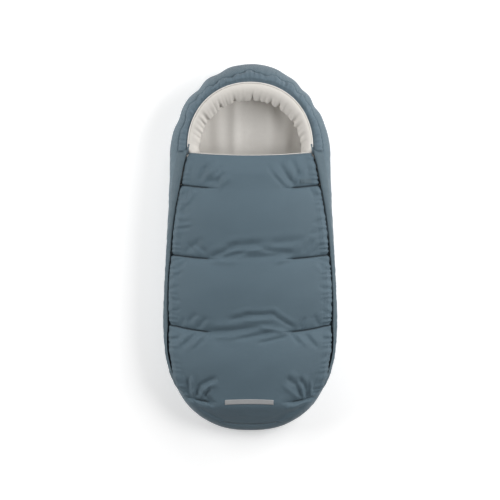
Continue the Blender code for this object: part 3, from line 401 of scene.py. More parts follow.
class Nodes:
    """Builds the nodes of a material or a world: add() makes a node of a type with its settings and the values or
    links of its sockets."""

    def __init__(self, owner, shader="Principled BSDF"):
        owner.use_nodes = True
        self.owner, self.tree = owner, owner.node_tree
        self.shader = self.tree.nodes[shader]

    def feed(self, socket, value):
        if isinstance(value, Value):
            self.tree.links.new(value.socket, socket)
        else:
            socket.default_value = value

    def add(self, kind, settings=(), inputs=(), output=0):
        node = self.tree.nodes.new(kind)
        for key, value in dict(settings).items():
            setattr(node, key, value)
        pairs = inputs.items() if isinstance(inputs, dict) else enumerate(inputs)
        for key, value in pairs:
            self.feed(node.inputs[key], value)
        return Value(self, node.outputs[output])

    def objects_place(self):
        return self.add("ShaderNodeTexCoord", output="Object")

    def axes(self, place):
        node = self.tree.nodes.new("ShaderNodeSeparateXYZ")
        self.feed(node.inputs[0], place)
        return [Value(self, socket) for socket in node.outputs]

    def seen(self):
        """1 for the rays that see the background, and 0 for the rest."""
        first, second, third = (self.add("ShaderNodeLightPath", output=word) for word in SEEN_RAYS)
        return first.math("MAXIMUM", second).math("MAXIMUM", third)

    def noise(self, place, scale, detail=3.0, roughness=0.5):
        return self.add("ShaderNodeTexNoise", (),
                        {"Vector": place, "Scale": scale, "Detail": detail, "Roughness": roughness}, "Fac")

    def tint(self, factor, low, high):
        """Mixes two linear colours by a factor; the first may be a mix itself."""
        node = self.tree.nodes.new("ShaderNodeMix")
        node.data_type = "RGBA"
        self.feed(node.inputs["Factor"], factor)
        self.feed(node.inputs["A"], low if isinstance(low, Value) else (*low, 1.0))
        self.feed(node.inputs["B"], (*high, 1.0))
        return Value(self, node.outputs["Result"])

    def bump(self, height, distance, strength=1.0, under=None):
        inputs = {"Height": height, "Distance": distance, "Strength": strength}
        if under is not None:
            inputs["Normal"] = under
        return self.add("ShaderNodeBump", (), inputs, "Normal")

    def finish(self, colour, roughness, normal=None, **fixed):
        for name, value in (("Base Color", colour), ("Roughness", roughness), ("Normal", normal)):
            if value is not None:
                self.feed(self.shader.inputs[name], value)
        for name, value in fixed.items():
            self.shader.inputs[name.replace("_", " ")].default_value = value
        return self.owner


def shade(colour, factor):
    """A lighter or darker colour: each part times the factor, 1 at most."""
    return tuple(min(1.0, c * factor) for c in colour)


def woven(name, colour, pitch=0.0007, depth=0.00008, rough=0.62, seam=False, sheen=0.06):
    """Plain weave: two crossed waves raise the threads, with slow slubs and faint soft creases."""
    n = Nodes(bpy.data.materials.new(name))
    place = n.objects_place()
    x, y, z = n.axes(place)
    rate = 2 * math.pi / pitch
    threads = (x * rate).sine() * (y * rate).sine() + (z * rate).sine() * 0.5
    slub = n.noise(place, 900.0, 2.0)
    crease = n.noise(place, 34.0, 4.0, 0.55)
    patch = n.noise(place, 7.0, 2.0)
    tone = n.tint((slub * 0.55 + patch * 0.45 - 0.25).clipped(0.0, 1.0), shade(colour, 0.86), shade(colour, 1.14))
    if seam:
        # painted shade: the seam attribute darkens the cloth where a seam's crease is shaded
        dark = n.add("ShaderNodeAttribute", {"attribute_name": "seam"}, (), "Fac")
        tone = n.tint(dark.clipped(0.0, 1.0), tone, shade(colour, 0.30))
    lumps = n.bump(crease, 0.0011, 0.55)
    normal = n.bump(threads, depth, 0.8, lumps)
    return n.finish(tone, slub * 0.10 + (rough - 0.05), normal, Sheen_Weight=sheen, Sheen_Roughness=0.55,
                    Specular_IOR_Level=0.32)


def napped(name, colour, nap=620.0, depth=0.0005, sheen=0.25):
    """Brushed fleece: fine noise lifts the nap, a coarser one clumps it."""
    n = Nodes(bpy.data.materials.new(name))
    place = n.objects_place()
    fine = n.noise(place, nap, 4.0, 0.65)
    clump = n.noise(place, nap / 6, 3.0, 0.6)
    tone = n.tint((fine * 0.5 + clump * 0.5).clipped(0.0, 1.0), shade(colour, 0.93), shade(colour, 1.05))
    soft = n.bump(clump, depth * 1.6, 0.5)
    normal = n.bump(fine, depth, 0.6, soft)
    return n.finish(tone, 0.96, normal, Sheen_Weight=sheen, Sheen_Roughness=0.5, Specular_IOR_Level=0.15)


def ribbed(name, colour, rate, axis, depth=0.0002, rough=0.6, metal=0.0):
    """Even ribs along one axis of the object, for tapes, webbing and elastic."""
    n = Nodes(bpy.data.materials.new(name))
    place = n.objects_place()
    ribs = (n.axes(place)[axis] * rate).sine()
    grain = n.noise(place, 1400.0, 2.0)
    tone = n.tint((ribs * 0.3 + grain * 0.7).clipped(0.0, 1.0), shade(colour, 0.82), shade(colour, 1.15))
    return n.finish(tone, grain * 0.12 + (rough - 0.06), n.bump(ribs, depth, 0.7), Metallic=metal)


def painted_metal(name, colour):
    """Satin paint on cast zinc, with faint orange peel and rubbed patches."""
    n = Nodes(bpy.data.materials.new(name))
    place = n.objects_place()
    peel = n.noise(place, 1800.0, 2.0)
    rubbed = n.noise(place, 260.0, 3.0)
    tone = n.tint((rubbed * 2.2 - 0.9).clipped(0.0, 1.0), colour, shade(colour, 1.6))
    return n.finish(tone, rubbed * 0.2 + 0.38, n.bump(peel, 0.00004, 0.5), Metallic=0.1)


def reflective_tape(name, colour):
    """Glass-bead tape: a fine honeycomb of beads in silver grey."""
    n = Nodes(bpy.data.materials.new(name))
    place = n.objects_place()
    cells = n.add("ShaderNodeTexVoronoi", {"feature": "DISTANCE_TO_EDGE"}, {"Vector": place, "Scale": 420.0},
                  "Distance")
    web = (cells * 9.0).clipped(0.0, 1.0)
    cloud = n.noise(place, 55.0, 3.0)
    tone = n.tint(web * 0.6 + cloud * 0.4, shade(colour, 0.78), shade(colour, 1.1))
    return n.finish(tone, 0.38 - cloud * 0.08, n.bump(web, 0.00006, 0.5), Metallic=0.25)


DOT_PITCH = 0.007


def dotted_grip(name, colour):
    """Coated anti-slip cloth with round raised dots."""
    n = Nodes(bpy.data.materials.new(name))
    place = n.objects_place()
    x, y, _ = n.axes(place)
    rate = 2 * math.pi / DOT_PITCH
    dots = ((x * rate).sine() * (y * rate).sine()).clipped(0.35, 0.75)
    grain = n.noise(place, 1200.0, 2.0)
    tone = n.tint(grain, shade(colour, 0.8), shade(colour, 1.3))
    return n.finish(tone, 0.82 - dots * 0.25, n.bump(dots, 0.0012, 0.9), Specular_IOR_Level=0.3)


def linear(*srgb):
    """Linear colour of an 8-bit sRGB triple."""
    return tuple(((v / 255 + 0.055) / 1.055) ** 2.4 if v > 10 else v / 255 / 12.92 for v in srgb)


SHELL_BLUE = linear(90, 108, 118)
# the shell's blue made darker: painted shade for the cover's up-facing chambers, which get less light
SHADED_COVER_BLUE = linear(83, 102, 113)
BAND_BLUE = linear(91, 109, 120)
# the shell's blue made darker: painted shade for the strips beside the zips, which lean away from the light
SHADED_PLACKET_BLUE = linear(82, 99, 108)
TAPE_BLUE = linear(60, 73, 82)
COIL_BLUE = linear(56, 69, 78)
ZINC = linear(74, 88, 97)
FLEECE = linear(213, 209, 203)
BACK_FLEECE = linear(241, 238, 233)
# a lighter white than the fleece: painted highlight for the fleece roll's folded edge
FLEECE_EDGE_HIGHLIGHT = linear(246, 243, 239)
TAPE_SILVER = linear(150, 151, 152)
GRIP_BLACK = linear(42, 46, 50)


def colour_property(name, description, default):
    return bpy.props.FloatVectorProperty(name=name, description=description, subtype="COLOR", size=3, min=0, max=1,
                                         default=default)


def length_property(name, description, default, most):
    return bpy.props.FloatProperty(name=name, description=description, default=default, min=0, max=most,
                                   unit="LENGTH", subtype="DISTANCE", precision=4)


class FootmuffSizes(bpy.types.PropertyGroup):
    chamber_puff: length_property("Chamber puff", "How far each chamber rises between its seams", 0.0195, 0.03)
    flap_puff: length_property("Flap puff", "How far the top flap rises", 0.0125, 0.03)
    toe_puff: length_property("Toe puff", "How far the toe cap rises", 0.0100, 0.03)
    wrinkle_scale: bpy.props.FloatProperty(name="Wrinkles", description="Strength of the cover's creases",
                                           default=1.95, min=0, max=3, subtype="FACTOR")
    gather_depth: length_property("Gather depth", "Depth of the gathers round the hood", 0.0054, 0.012)
    roll_gather: length_property("Roll gathers", "Depth of the gathers in the fleece roll", 0.0066, 0.02)
    overhang: length_property("Overhang", "How far the quilt's edge hangs over the zip", 0.0063, 0.008)
    coil_pitch: length_property("Coil pitch", "Distance from one turn of the zip coil to the next", 0.0021, 0.01)


class FootmuffColours(bpy.types.PropertyGroup):
    shell: colour_property("Shell", "Outer cloth of the pod", SHELL_BLUE)
    # the cover colour is the shell's blue with painted shade
    cover: colour_property("Cover", "Outer cloth of the quilted cover", SHADED_COVER_BLUE)
    band: colour_property("Hood band", "Gathered cloth round the hood", BAND_BLUE)
    # the placket colour is the shell's blue with painted shade
    placket: colour_property("Placket", "Folded strips beside the zips", SHADED_PLACKET_BLUE)
    tape: colour_property("Zip tape", "Woven tape of the zips", TAPE_BLUE)
    coil: colour_property("Zip coil", "Nylon coil of the zips", COIL_BLUE)
    metal: colour_property("Slider", "Painted sliders, pulls and stops", ZINC)
    fleece: colour_property("Fleece", "Fleece roll and linings", FLEECE)
    back: colour_property("Back fleece", "Fleece on the pod's back", BACK_FLEECE)
    silver: colour_property("Reflective strip", "Glass-bead tape", TAPE_SILVER)
    grip: colour_property("Grip panel", "Anti-slip panel under the back", GRIP_BLACK)


def props():
    return bpy.context.scene.footmuff_sizes


def colours():
    return bpy.context.scene.footmuff_colours


def material(name, make, colour, *rest, **more):
    """The named material, made once, by a function that takes its name and colour first."""
    return bpy.data.materials.get(name) or make(name, tuple(colour), *rest, **more)


def cover_cloth():
    # the cover's blue is the shell's darkened as painted shade, and the seam attribute paints shade along the seams
    return material("cover cloth", woven, colours().cover, seam=True)


def placket_cloth():
    # the darker placket blue is painted shade; the blank tag uses this cloth too
    return material("placket cloth", woven, colours().placket, 0.0009)


def fleece_cloth():
    return material("fleece cloth", napped, colours().fleece)


# Creases of the cover in the photographed view: both ends, half width, depth in millimetres (negative is a ridge)
FLAP_CREASES = (
    (214, 161.5, 204, 170, 2.4, 1.7), (205, 168, 200.5, 180, 2.4, 1.8), (222.5, 167, 216, 174, 1.8, 1.4),
    (225, 173, 217, 181.5, 2.2, 1.7), (220, 181, 206, 181.5, 2.8, 2.2), (214, 169, 209, 176, 2.4, -1.0),
    (231, 178, 219, 186, 2.6, -0.9),
    (291, 160, 299, 176, 2.6, 1.4), (280, 165, 292, 184, 2.6, 2.2), (274, 172, 288, 187, 2.2, -1.3),
    (268, 168, 283, 186, 2.4, 1.2), (297, 172, 293, 186, 2.0, 1.3), (305, 170, 303, 184, 2.2, -0.9),
    (190, 188, 181, 203, 2.2, 2.6), (196, 188, 184, 207, 2.4, -1.4), (309, 188, 318, 202, 2.2, 1.8),
    (187, 204, 182, 214, 2.0, 1.2), (190, 212, 180, 216, 1.6, 1.0),
)
CHEST_CREASES = (
    (190, 221, 178, 223, 1.6, 1.2), (189, 228, 177, 228, 1.6, 1.3), (191, 224, 179, 226, 1.5, -0.9),
    (200, 240, 186, 252, 3.0, 1.5), (206, 252, 196, 244, 2.4, 1.5), (196, 253, 188, 243, 2.0, 1.1),
    (213, 257, 236, 246, 2.6, 2.4), (222, 259, 247, 251, 2.4, 2.2), (228, 246, 262, 243, 2.8, 1.8),
    (236, 252, 262, 250, 2.0, -1.6), (212, 261, 236, 262, 3.0, -1.2), (246, 258, 285, 255, 2.6, 1.8),
    (262, 250, 292, 253, 2.6, 1.8), (270, 244, 300, 240, 3.2, 1.5), (292, 258, 276, 262, 2.2, -1.2),
    (303, 252, 312, 241, 2.4, 1.4), (311, 254, 321, 244, 2.2, 1.2), (322, 232, 310, 234, 1.8, 1.0),
    (324, 222, 313, 223, 1.6, 1.0), (174, 262, 186, 257, 1.6, 1.4), (176, 270, 188, 259, 2.0, 1.5),
    (173, 280, 182, 272, 1.8, 1.2), (327, 263, 316, 257, 1.8, 1.3), (328, 272, 317, 262, 1.8, 1.2),
)
LEG_CREASES = (
    (231, 319.5, 250, 315, 2.3, 1.9), (247, 315, 275, 314, 2.0, 1.8), (272, 314, 292, 326.5, 2.0, 2.2),
    (211, 332, 252, 328.5, 2.8, 2.4), (238, 339.5, 273, 332, 2.2, 1.9), (260, 343, 287, 336.5, 1.8, 1.5),
    (262, 328, 286, 332, 2.2, -1.4), (246, 321, 272, 320, 2.4, -1.5), (216, 337, 236, 337, 2.4, -1.0),
    (196, 314, 188, 322, 2.4, 1.4), (206, 318, 198, 328, 2.4, 1.5), (184, 318, 181, 327, 2.0, 1.1),
    (180, 336, 170, 343, 2.0, 1.5), (188, 334, 177, 347, 2.2, -1.0), (197, 333, 184, 345, 2.2, 1.8),
    (203, 334, 193, 346, 1.8, -1.1), (210, 333, 202, 343, 1.8, 1.1), (304, 318, 299, 328, 2.2, 1.3),
    (314, 316, 318, 325, 2.2, 1.2), (322, 336, 330, 345, 2.0, 1.4), (305, 334, 316, 347, 2.2, 1.6),
    (297, 334, 306, 345, 1.8, -1.0), (290, 333, 298, 343, 1.8, 1.1), (178, 286, 170, 290, 1.6, 0.9),
    (180, 300, 169, 302, 1.6, 0.9), (330, 290, 320, 287, 1.6, 0.8), (330, 303, 321, 301, 1.6, 0.8),
    (172, 312, 180, 309, 1.5, 0.9), (329, 313, 321, 310, 1.5, 0.9),
)
FOOT_CREASES = (
    (188, 379, 190, 393, 1.8, 2.4), (191.5, 378, 193, 396, 1.6, -1.8), (184, 388, 194, 398, 1.5, 1.8),
    (215, 378, 200, 385, 2.4, 3.0), (200, 385, 196.5, 395, 2.2, 3.0), (212, 384, 203, 392, 1.8, -1.6),
    (210, 387, 204, 397, 1.4, 2.0), (199, 391, 201.5, 398, 1.4, -1.4), (206, 395, 213, 405, 1.8, 1.6),
    (203, 396, 210, 407, 1.7, -1.5), (186, 396, 199, 411, 1.6, 2.2), (190, 401, 212, 416, 1.8, 1.9),
    (184, 393, 192, 407, 1.4, -1.4), (180, 388, 186, 398, 1.5, 1.5), (212, 416, 232, 422, 2.4, 0.9),
    (287, 378, 296, 384, 2.6, 2.2), (296, 384, 300, 396, 2.0, 2.6), (299, 378, 305, 388, 2.2, 2.8),
    (305, 388, 306, 399, 1.8, 2.6), (302, 384, 303.5, 398, 1.5, -1.8), (308, 382, 309.5, 397, 1.5, 1.7),
    (311.5, 384, 310.5, 398, 1.4, -1.5), (316, 386, 312, 397, 1.6, 1.9), (319, 389, 314, 397, 1.4, -1.2),
    (284, 386, 298, 397, 2.4, -1.2), (314, 399, 296, 412, 1.7, 1.9), (308, 400, 290, 409, 1.7, -1.5),
    (318, 398, 304, 412, 1.6, 1.6), (292, 405, 286, 409, 1.8, -1.2), (290, 412, 268, 421, 2.2, 0.9),
)


def crease_relief(x, y, table, scale):
    """Sum of creases: a bell across a slightly bowed line, faded at both ends, with a low shoulder beside it."""
    total = np.zeros(np.shape(x))
    for x0, y0, x1, y1, half_width, depth in table:
        ax, ay = metres_from_photo(x0, y0)
        bx, by = metres_from_photo(x1, y1)
        length = math.hypot(bx - ax, by - ay)
        ux, uy = (bx - ax) / length, (by - ay) / length
        along = ((x - ax) * ux + (y - ay) * uy) / length
        across = (x - ax) * -uy + (y - ay) * ux - 0.05 * length * (along - 0.5) ** 2
        width = half_width * PHOTO_SCALE * 1.05
        dip = bell(across, width) - 0.35 * bell(across - 2.1 * width, 1.3 * width)
        fade = smooth(along, -0.25, 0.25) * (1 - smooth(along, 0.75, 1.25))
        total -= scale * depth * 0.001 * dip * fade
    return total


# Stretches of the cover from its top edge down: the seams that bound it, how far its underside arches there, its rows
SECTIONS = (
    ("flap", TOP_EDGE, FLAP_SEAM, (0.022, 0.032), 40),
    ("upper", FLAP_SEAM, UPPER_SEAM, (0.032, 0.032), 84),
    ("middle", UPPER_SEAM, LOWER_SEAM, (0.032, 0.026), 88),
    ("lower", LOWER_SEAM, FOOT_SEAM, (0.026, 0.020), 84),
)
FLAP_ROWS = SECTIONS[0][4] + 1
TOE_ROWS = 40
TOE_ARCH = (0.020, 0.002)
ARCH_POWER = 2.2
# Between these, measured from the middle towards the foot, the cover's edge closes up to the pod's rim
FOOT_CLOSING = (0.356, 0.373)
# The hem: a quarter ellipse from the cover's face down to its edge
HEM_WIDTH = 0.017
HEM_STEPS = 9
HEM_THICKNESS = 0.0036
INNER_STEPS = 116
EDGE_DROP = 0.0008
SEAM_THICKNESS = 0.0080
# The hem at the foot lies over the pod's rim and down its wall, this share of the way to the outline
WALL_SHARE = 0.88


def dart_mask(x):
    """One out at the sides, where a seam is sewn, and nothing in the middle, where the cloth runs through."""
    return smooth(np.abs(x), 0.074, 0.116)


def over_the_wall(edge, inner, turn, toe_share):
    """The foot's right hem: from the inner column a quarter ellipse runs over the pod's rim and down its wall, to end
    1.5 mm off it."""
    out_dir = unit(np.column_stack([edge[:, 0], edge[:, 1] - FOOT_CENTRE_Y]))
    reach = np.linspace(0, 0.05, 101)
    spots = edge[:, None, :2] + out_dir[:, None] * reach[None, :, None]
    inside = np.abs(spots[..., 0]) < outline_half_width(spots[..., 1])
    width = reach[np.argmin(inside, 1)] * (1 - smooth(toe_share, 0.80, 1.0))
    wall_z = BASE + WIDEST_HEIGHT + (edge[:, 2] - BASE - WIDEST_HEIGHT) * math.sqrt(1 - WALL_SHARE**2)
    far = edge[:, :2] + out_dir * (WALL_SHARE * width)[:, None]
    end_z = np.where(width > 0.002, wall_z + 0.0015, edge[:, 2] + 0.001)
    plan = inner[:, None, :2] + (far[:, None] - inner[:, None, :2]) * np.cos(turn)[None, :, None]
    return np.dstack([plan, end_z[:, None] + (inner[:, 2] - end_z)[:, None] * np.sin(turn)[None]])


def rim_edge(rim, at):
    """Edge of the cover at places along the pod's rim: just inside the rim and under its cloth."""
    edge = np.stack([np.interp(at, np.arange(len(rim)), rim[:, k]) for k in range(3)], -1)
    inward = unit(np.column_stack([edge[:, 0], edge[:, 1] - FOOT_CENTRE_Y]))
    edge[:, :2] -= inward * 3 * GAP
    edge[:, 2] -= SHELL + GAP
    return edge


def quilt_rows():
    """Middle y, edge point, arch, puff and share of its stretch for each row of the whole quilt, the first row of the
    toe, and the right half of the pod's rim."""
    rows = []
    sizes = props()
    rim = half_ring(60, 200, 160)[1]
    place = np.arange(len(rim))
    for label, start, end, arches, steps in SECTIONS:
        share = np.linspace(0, 1, steps + 1)
        # rows crowd at the seams
        share = share - 0.55 * np.sin(2 * math.pi * share) / (2 * math.pi)
        share = share if label == "flap" else share[1:]
        puff = sizes.flap_puff if label == "flap" else sizes.chamber_puff
        centre = start[0] + (end[0] - start[0]) * share
        side = start[1] + (end[1] - start[1]) * share
        arch = arches[0] + (arches[1] - arches[0]) * share
        edge = zip_point(side, -ZIP_TO_COVER, 0)
        # below the zips' ends the cover closes up to the pod's rim
        closing = smooth(-side, *FOOT_CLOSING)[:, None]
        edge += (rim_edge(rim, np.interp(-side, -rim[:, 1], place)) - edge) * closing
        rows.append(np.column_stack([centre, edge, arch, np.full(len(share), puff), share]))
    split = sum(len(r) for r in rows)
    first = np.interp(-FOOT_SEAM[1], -rim[:, 1], place)
    last = np.interp(-TOE_END_HALF_WIDTH, -rim[int(first):, 0], place[int(first):])
    share = np.linspace(0, 1, TOE_ROWS + 1)[1:]
    at = first + (last - first) * share
    edge = rim_edge(rim, at)
    start_y, end_y = FOOT_SEAM[0], rim[-1, 1] + 2 * GAP
    arch = TOE_ARCH[0] + (TOE_ARCH[1] - TOE_ARCH[0]) * share
    rows.append(np.column_stack([start_y + (end_y - start_y) * share, edge, arch,
                                 np.full(len(share), sizes.toe_puff), share]))
    return np.concatenate(rows), split, rim


def chamber_lift(x, across, puff, share, in_flap, in_toe):
    """How far the cover stands over its seams. Where they are sewn, at the sides, it is a power of the sine of the
    share of the chamber. In the middle it falls to half at most, and in the toe it falls with the square of the
    share."""
    sizes = props()
    sewn = dart_mask(x)
    swell = np.maximum(np.sin(math.pi * np.clip(share, 0, 1) ** np.where(in_toe, 1.0, 0.84)), 0)
    chamber = swell ** np.where(in_toe, 0.75, 0.60 - 0.1 * sewn)
    valley = 0.50 + 0.50 * swell**1.5
    through = np.where(in_toe, valley * (1 - share**2), valley)
    through = np.where(in_flap, smooth(share, 0, 0.6) * 0.78 + 0.22 * swell**1.5, through)
    after_seam = sizes.toe_puff + (sizes.chamber_puff - sizes.toe_puff) * (1 - smooth(share, 0, 0.5))
    puffed = np.maximum(puff, np.where(in_toe, after_seam, 0))
    return puffed * (chamber * sewn + through * (1 - sewn)) * (1 - 0.30 * np.abs(across) ** 6)


def sewn_seams(x, y, across):
    """1 along each sewn seam, from the darts' inner ends out to the zip, falling off in a bell to both sides."""
    mark = np.zeros(x.shape)
    for centre, side in (FLAP_SEAM, UPPER_SEAM, LOWER_SEAM, FOOT_SEAM):
        line = centre + (side - centre) * np.abs(across) ** 3
        near = bell(y - line, 0.0016) * smooth(np.abs(x), 0.104, 0.114)
        if side == FOOT_SEAM[1]:
            near = near * (1 - 0.9 * smooth(np.abs(x), 0.126, 0.148))
        mark = np.maximum(mark, near)
    return mark


def quilt_surfaces():
    """Top, underside and lining of the whole quilt, from the flap's top edge to the toe, with its sewn seams and the
    first row of the toe.

    Across a row: x is the share u times the edge's x; the bottom arches by arch (1 - u^2.2); the top stands over it by
    the seam's thickness plus the chamber's lift, with the photographed creases added, and turns down to the hem in a
    quarter ellipse that hangs a little over the zip.
    """
    sizes = props()
    rows, split, rim = quilt_rows()
    centre_y, edge, arch, puff, share = np.split(rows, (1, 4, 5, 6), 1)
    number = np.arange(len(rows))[:, None]
    in_flap, in_toe = number < FLAP_ROWS, number >= split
    turn = np.linspace(0, math.pi / 2, HEM_STEPS + 1)[:-1]
    inner_share = 1 - HEM_WIDTH / edge[:, :1]
    inner = np.linspace(-1, 1, INNER_STEPS + 1)[None] * inner_share
    roll = 1 - (1 - inner_share) * (1 - np.cos(turn))[None]
    across = np.concatenate([-roll, inner, roll[:, ::-1]], 1)
    sine = np.concatenate([np.sin(turn), np.ones(INNER_STEPS + 1), np.sin(turn[::-1])])[None]
    x = edge[:, :1] * across
    bow = np.where(in_flap, 2.0 + smooth(share, 0, 1), 3.0)
    y = centre_y + (edge[:, 1:2] - centre_y) * np.abs(across) ** bow
    bottom = edge[:, 2:] - GAP - EDGE_DROP - LINING + arch * (1 - np.abs(across) ** ARCH_POWER)
    lift = chamber_lift(x, across, puff, share, in_flap, in_toe)
    creases = crease_relief(x, y, FLAP_CREASES + CHEST_CREASES + LEG_CREASES + FOOT_CREASES, sizes.wrinkle_scale)
    drift = 0.0007 * np.sin(x * 41 + 1.7 * np.sin(y * 29)) * np.sin(y * 37 + 1.1 * np.sin(x * 23 + 2))
    # the seams' mask sinks a groove here and, passed on, paints shade into the cover's colour along the seams
    seam_groove_and_shade = sewn_seams(x, y, across)
    face = bottom + SEAM_THICKNESS + lift + (creases + drift) * (0.25 + 0.75 * smooth(lift, 0.001, 0.008))
    face -= 0.0024 * seam_groove_and_shade

    # the hem, puckered along the zip and hanging over it, more so beside the legs
    hem = bottom + HEM_THICKNESS
    top = hem + (face - hem) * sine
    side_y = -edge[:, 1:2]
    closing = smooth(side_y, *FOOT_CLOSING)
    ripple = np.sin(y[:, :1] * 390 + 1.8 * np.sin(y[:, :1] * 103)) * np.where(in_toe, 0, 1)
    ripple = ripple * np.where(x > 0, 1.25, 0.8)
    top += 0.0010 * ripple * smooth(np.abs(across), 0.86, 0.97) * sine
    hang = sizes.overhang + 0.0075 * smooth(side_y, 0.290, 0.345) * (1 - closing) + 0.0007 * ripple
    zip_top = edge[:, 2:] + 0.0095
    hang = hang * smooth(top, zip_top - 0.0045, zip_top - 0.0005) * (sine < 1)
    hang = np.where(in_toe, hang * (1 - smooth(share, 0, 0.25)), hang)

    # the toe ends at the pod's rim, and the flap's top edge turns down
    toe_rim = rim[len(rim) // 2:][::-1]
    y[-1] = np.interp(np.abs(x[-1]), toe_rim[:, 0], toe_rim[:, 1]) + 2 * GAP
    top += (hem + 0.001 - top) * (smooth(share, 0.90, 1.0) * in_toe)
    front = np.ones((len(rows), 1))
    front[:10, 0] = 0.42 + 0.58 * np.sqrt(1 - (1 - np.linspace(0, 1, 10)) ** 2)
    top = hem + (top - hem) * front
    upper = np.stack([x + np.sign(x) * hang, y, top], -1)

    # at the foot the hem goes over the pod's rim, on both sides alike, and the underside follows it
    wrapped = slice(int(np.argmax(closing[:, 0] > 0)), None)
    toe_share = np.where(in_toe, share, 0)[wrapped, 0]
    over = over_the_wall(edge[wrapped], upper[wrapped, -HEM_STEPS - 1], turn, toe_share)
    blend = smooth(side_y[wrapped], 0.362, 0.379)[..., None]
    upper[wrapped, -HEM_STEPS:] += (over[:, ::-1] - upper[wrapped, -HEM_STEPS:]) * blend
    upper[wrapped, :HEM_STEPS] += (over * np.array([-1, 1, 1]) - upper[wrapped, :HEM_STEPS]) * blend
    lower = np.stack([x, y, bottom + LINING + GAP], -1)
    skirt = upper[wrapped] + np.array([0, 0, -0.0013])
    lower[wrapped] += (skirt - lower[wrapped]) * (blend * (1 - sine)[..., None])
    return upper, lower, np.stack([x, y, bottom], -1), seam_groove_and_shade, split


# Rows above the foot seam at which the foot's piece begins
FOOT_PIECE_ROWS = 24

# Stretches in which the cloth bends over a hinge: a point, the way along the cloth, and where it begins and ends
FLAP_TURN = (Vector((0, FLAP_HINGE_Y, 0.1435)), Vector((0, 1, 0.2156)).normalized(), -0.014, 0.009)
FOOT_TURN = (Vector((0, FOOT_HINGE_Y, 0.112)), Vector((0, 1, 0.615)).normalized(), -0.004, 0.020)


def turn_ends(turn):
    """Both ends of the stretch in which cloth bends over a hinge."""
    point, direction, before, after = turn
    return tuple(point + direction * before), tuple(point + direction * after)


def make_quilt():
    """The cover and the foot, cut from one quilt that bends at both hinges: a padded sheet with the quilt's own normals
    on top, and a fleece sheet under each."""
    upper, lower, lining, mark, split = quilt_surfaces()
    cut = split - FOOT_PIECE_ROWS
    lean = unit(np.cross(np.gradient(upper, axis=1), -np.gradient(upper, axis=0)))
    lean *= np.sign(lean[len(lean) // 2, lean.shape[1] // 2, 2])
    cover = slice(0, cut + 1), ("cover", "flap", *turn_ends(FLAP_TURN))
    foot = slice(cut, None), ("pod", "cover", *turn_ends(FOOT_TURN))
    quilts = (
        ("cover_quilt", cover, ("cover_face", "cover_wadding_upper", "cover_wadding_middle", "cover_wadding_lower",
                                "flap_face", "flap_wadding")),
        ("foot_quilt", foot, ("toe_face", "toe_wadding")),
    )
    for name, (rows, bend), nodes in quilts:
        points, faces = closed_sheet(upper[rows], lower[rows])
        # painted shade along the sewn seams, for the cover cloth's seam attribute
        seam_shades = np.concatenate([mark[rows].ravel(), np.zeros(mark[rows].size)])
        piece = add_piece(name, points, faces, cover_cloth(), seam_shades)
        own = np.zeros((len(piece.data.vertices), 3), np.float32)
        piece.data.vertices.foreach_get("normal", own.ravel())
        own[: mark[rows].size] = lean[rows].reshape(-1, 3)
        piece.data.normals_split_custom_set_from_vertices(own)
        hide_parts(*nodes)
        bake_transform(piece)
    fleeces = (("cover_fleece", cover, ("cover_lining", "flap_lining")), ("foot_fleece", foot, ("toe_lining",)))
    for name, (rows, bend), nodes in fleeces:
        under = lining[rows][:, HEM_STEPS // 2: -(HEM_STEPS // 2)]
        points, faces = closed_sheet(under + LINING * UP, under)
        piece = add_piece(name, points, faces, fleece_cloth())
        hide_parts(*nodes)
        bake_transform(piece)


def make_flap_edge():
    """Fleece binding along the flap's top edge: an oval section carried along the edge's curve."""
    corner = zip_point(TOP_EDGE[1], -ZIP_TO_COVER, 0)
    half = float(corner[0]) - 0.007
    x = np.linspace(-half, half, 121)
    share = x / float(corner[0])
    y = TOP_EDGE[0] + (TOP_EDGE[1] - TOP_EDGE[0]) * share**2
    z = float(corner[2]) - GAP - EDGE_DROP - LINING + SECTIONS[0][3][0] * (1 - np.abs(share) ** ARCH_POWER)
    turn = np.linspace(0, 2 * math.pi, 16, endpoint=False)
    ripple = 1 + 0.05 * np.sin(x * 330)[:, None]
    sections = np.stack([
        np.broadcast_to(x[:, None], (len(x), 16)),
        y[:, None] + 0.0014 * np.cos(turn)[None] * ripple,
        z[:, None] + 0.0026 + 0.0030 * np.sin(turn)[None] * ripple,
    ], -1)
    points, faces = swept(sections)
    piece = add_piece("flap_edge_fleece", points, faces, fleece_cloth())
    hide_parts("flap_binding")
    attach(piece, "flap")


def laid_on(name, target, centre, size, steps, thickness, lift, finish, bow=0.0):
    """A strip of cloth over a quilt: an even grid, bowed by the square of its share across, is dropped on the quilt
    along Z and then given its thickness."""
    across, along = np.meshgrid(*(np.linspace(-length / 2, length / 2, count) for length, count in zip(size, steps)))
    bowed = along - bow * (across / (size[0] / 2)) ** 2
    points = np.stack([centre[0] + across, centre[1] + bowed, np.full(across.shape, 0.30)], -1)
    piece = add_piece(name, points, grid_faces(steps[1], steps[0]), finish)
    wrap = piece.modifiers.new("Drop on the quilt", "SHRINKWRAP")
    wrap.target = target
    wrap.wrap_method = "PROJECT"
    wrap.use_project_x = wrap.use_project_y = False
    wrap.use_project_z = True
    wrap.use_negative_direction = True
    wrap.use_positive_direction = False
    wrap.offset = lift
    solid = piece.modifiers.new("Thickness", "SOLIDIFY")
    solid.thickness = thickness
    solid.offset = 0
    return applied(piece)


def make_trim():
    """The reflective strip across the foot and the bare tag by the flap's seam."""
    foot, cover = bpy.data.objects["foot_quilt"], bpy.data.objects["cover_quilt"]
    silver = material("reflective tape", reflective_tape, colours().silver)
    strip = laid_on("reflective_tape_strip", foot, (-0.0026, -0.3998), (0.126, 0.0125), (60, 8), 0.0007, 0.0006,
                    silver, 0.0022)
    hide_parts("reflective_strip")
    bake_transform(strip)
    tag = laid_on("blank_side_tag", cover, (0.1450, 0.1720), (0.030, 0.011), (24, 10), 0.0010, 0.0009,
                  placket_cloth())
    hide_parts("side_tag")
    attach(tag, "flap")


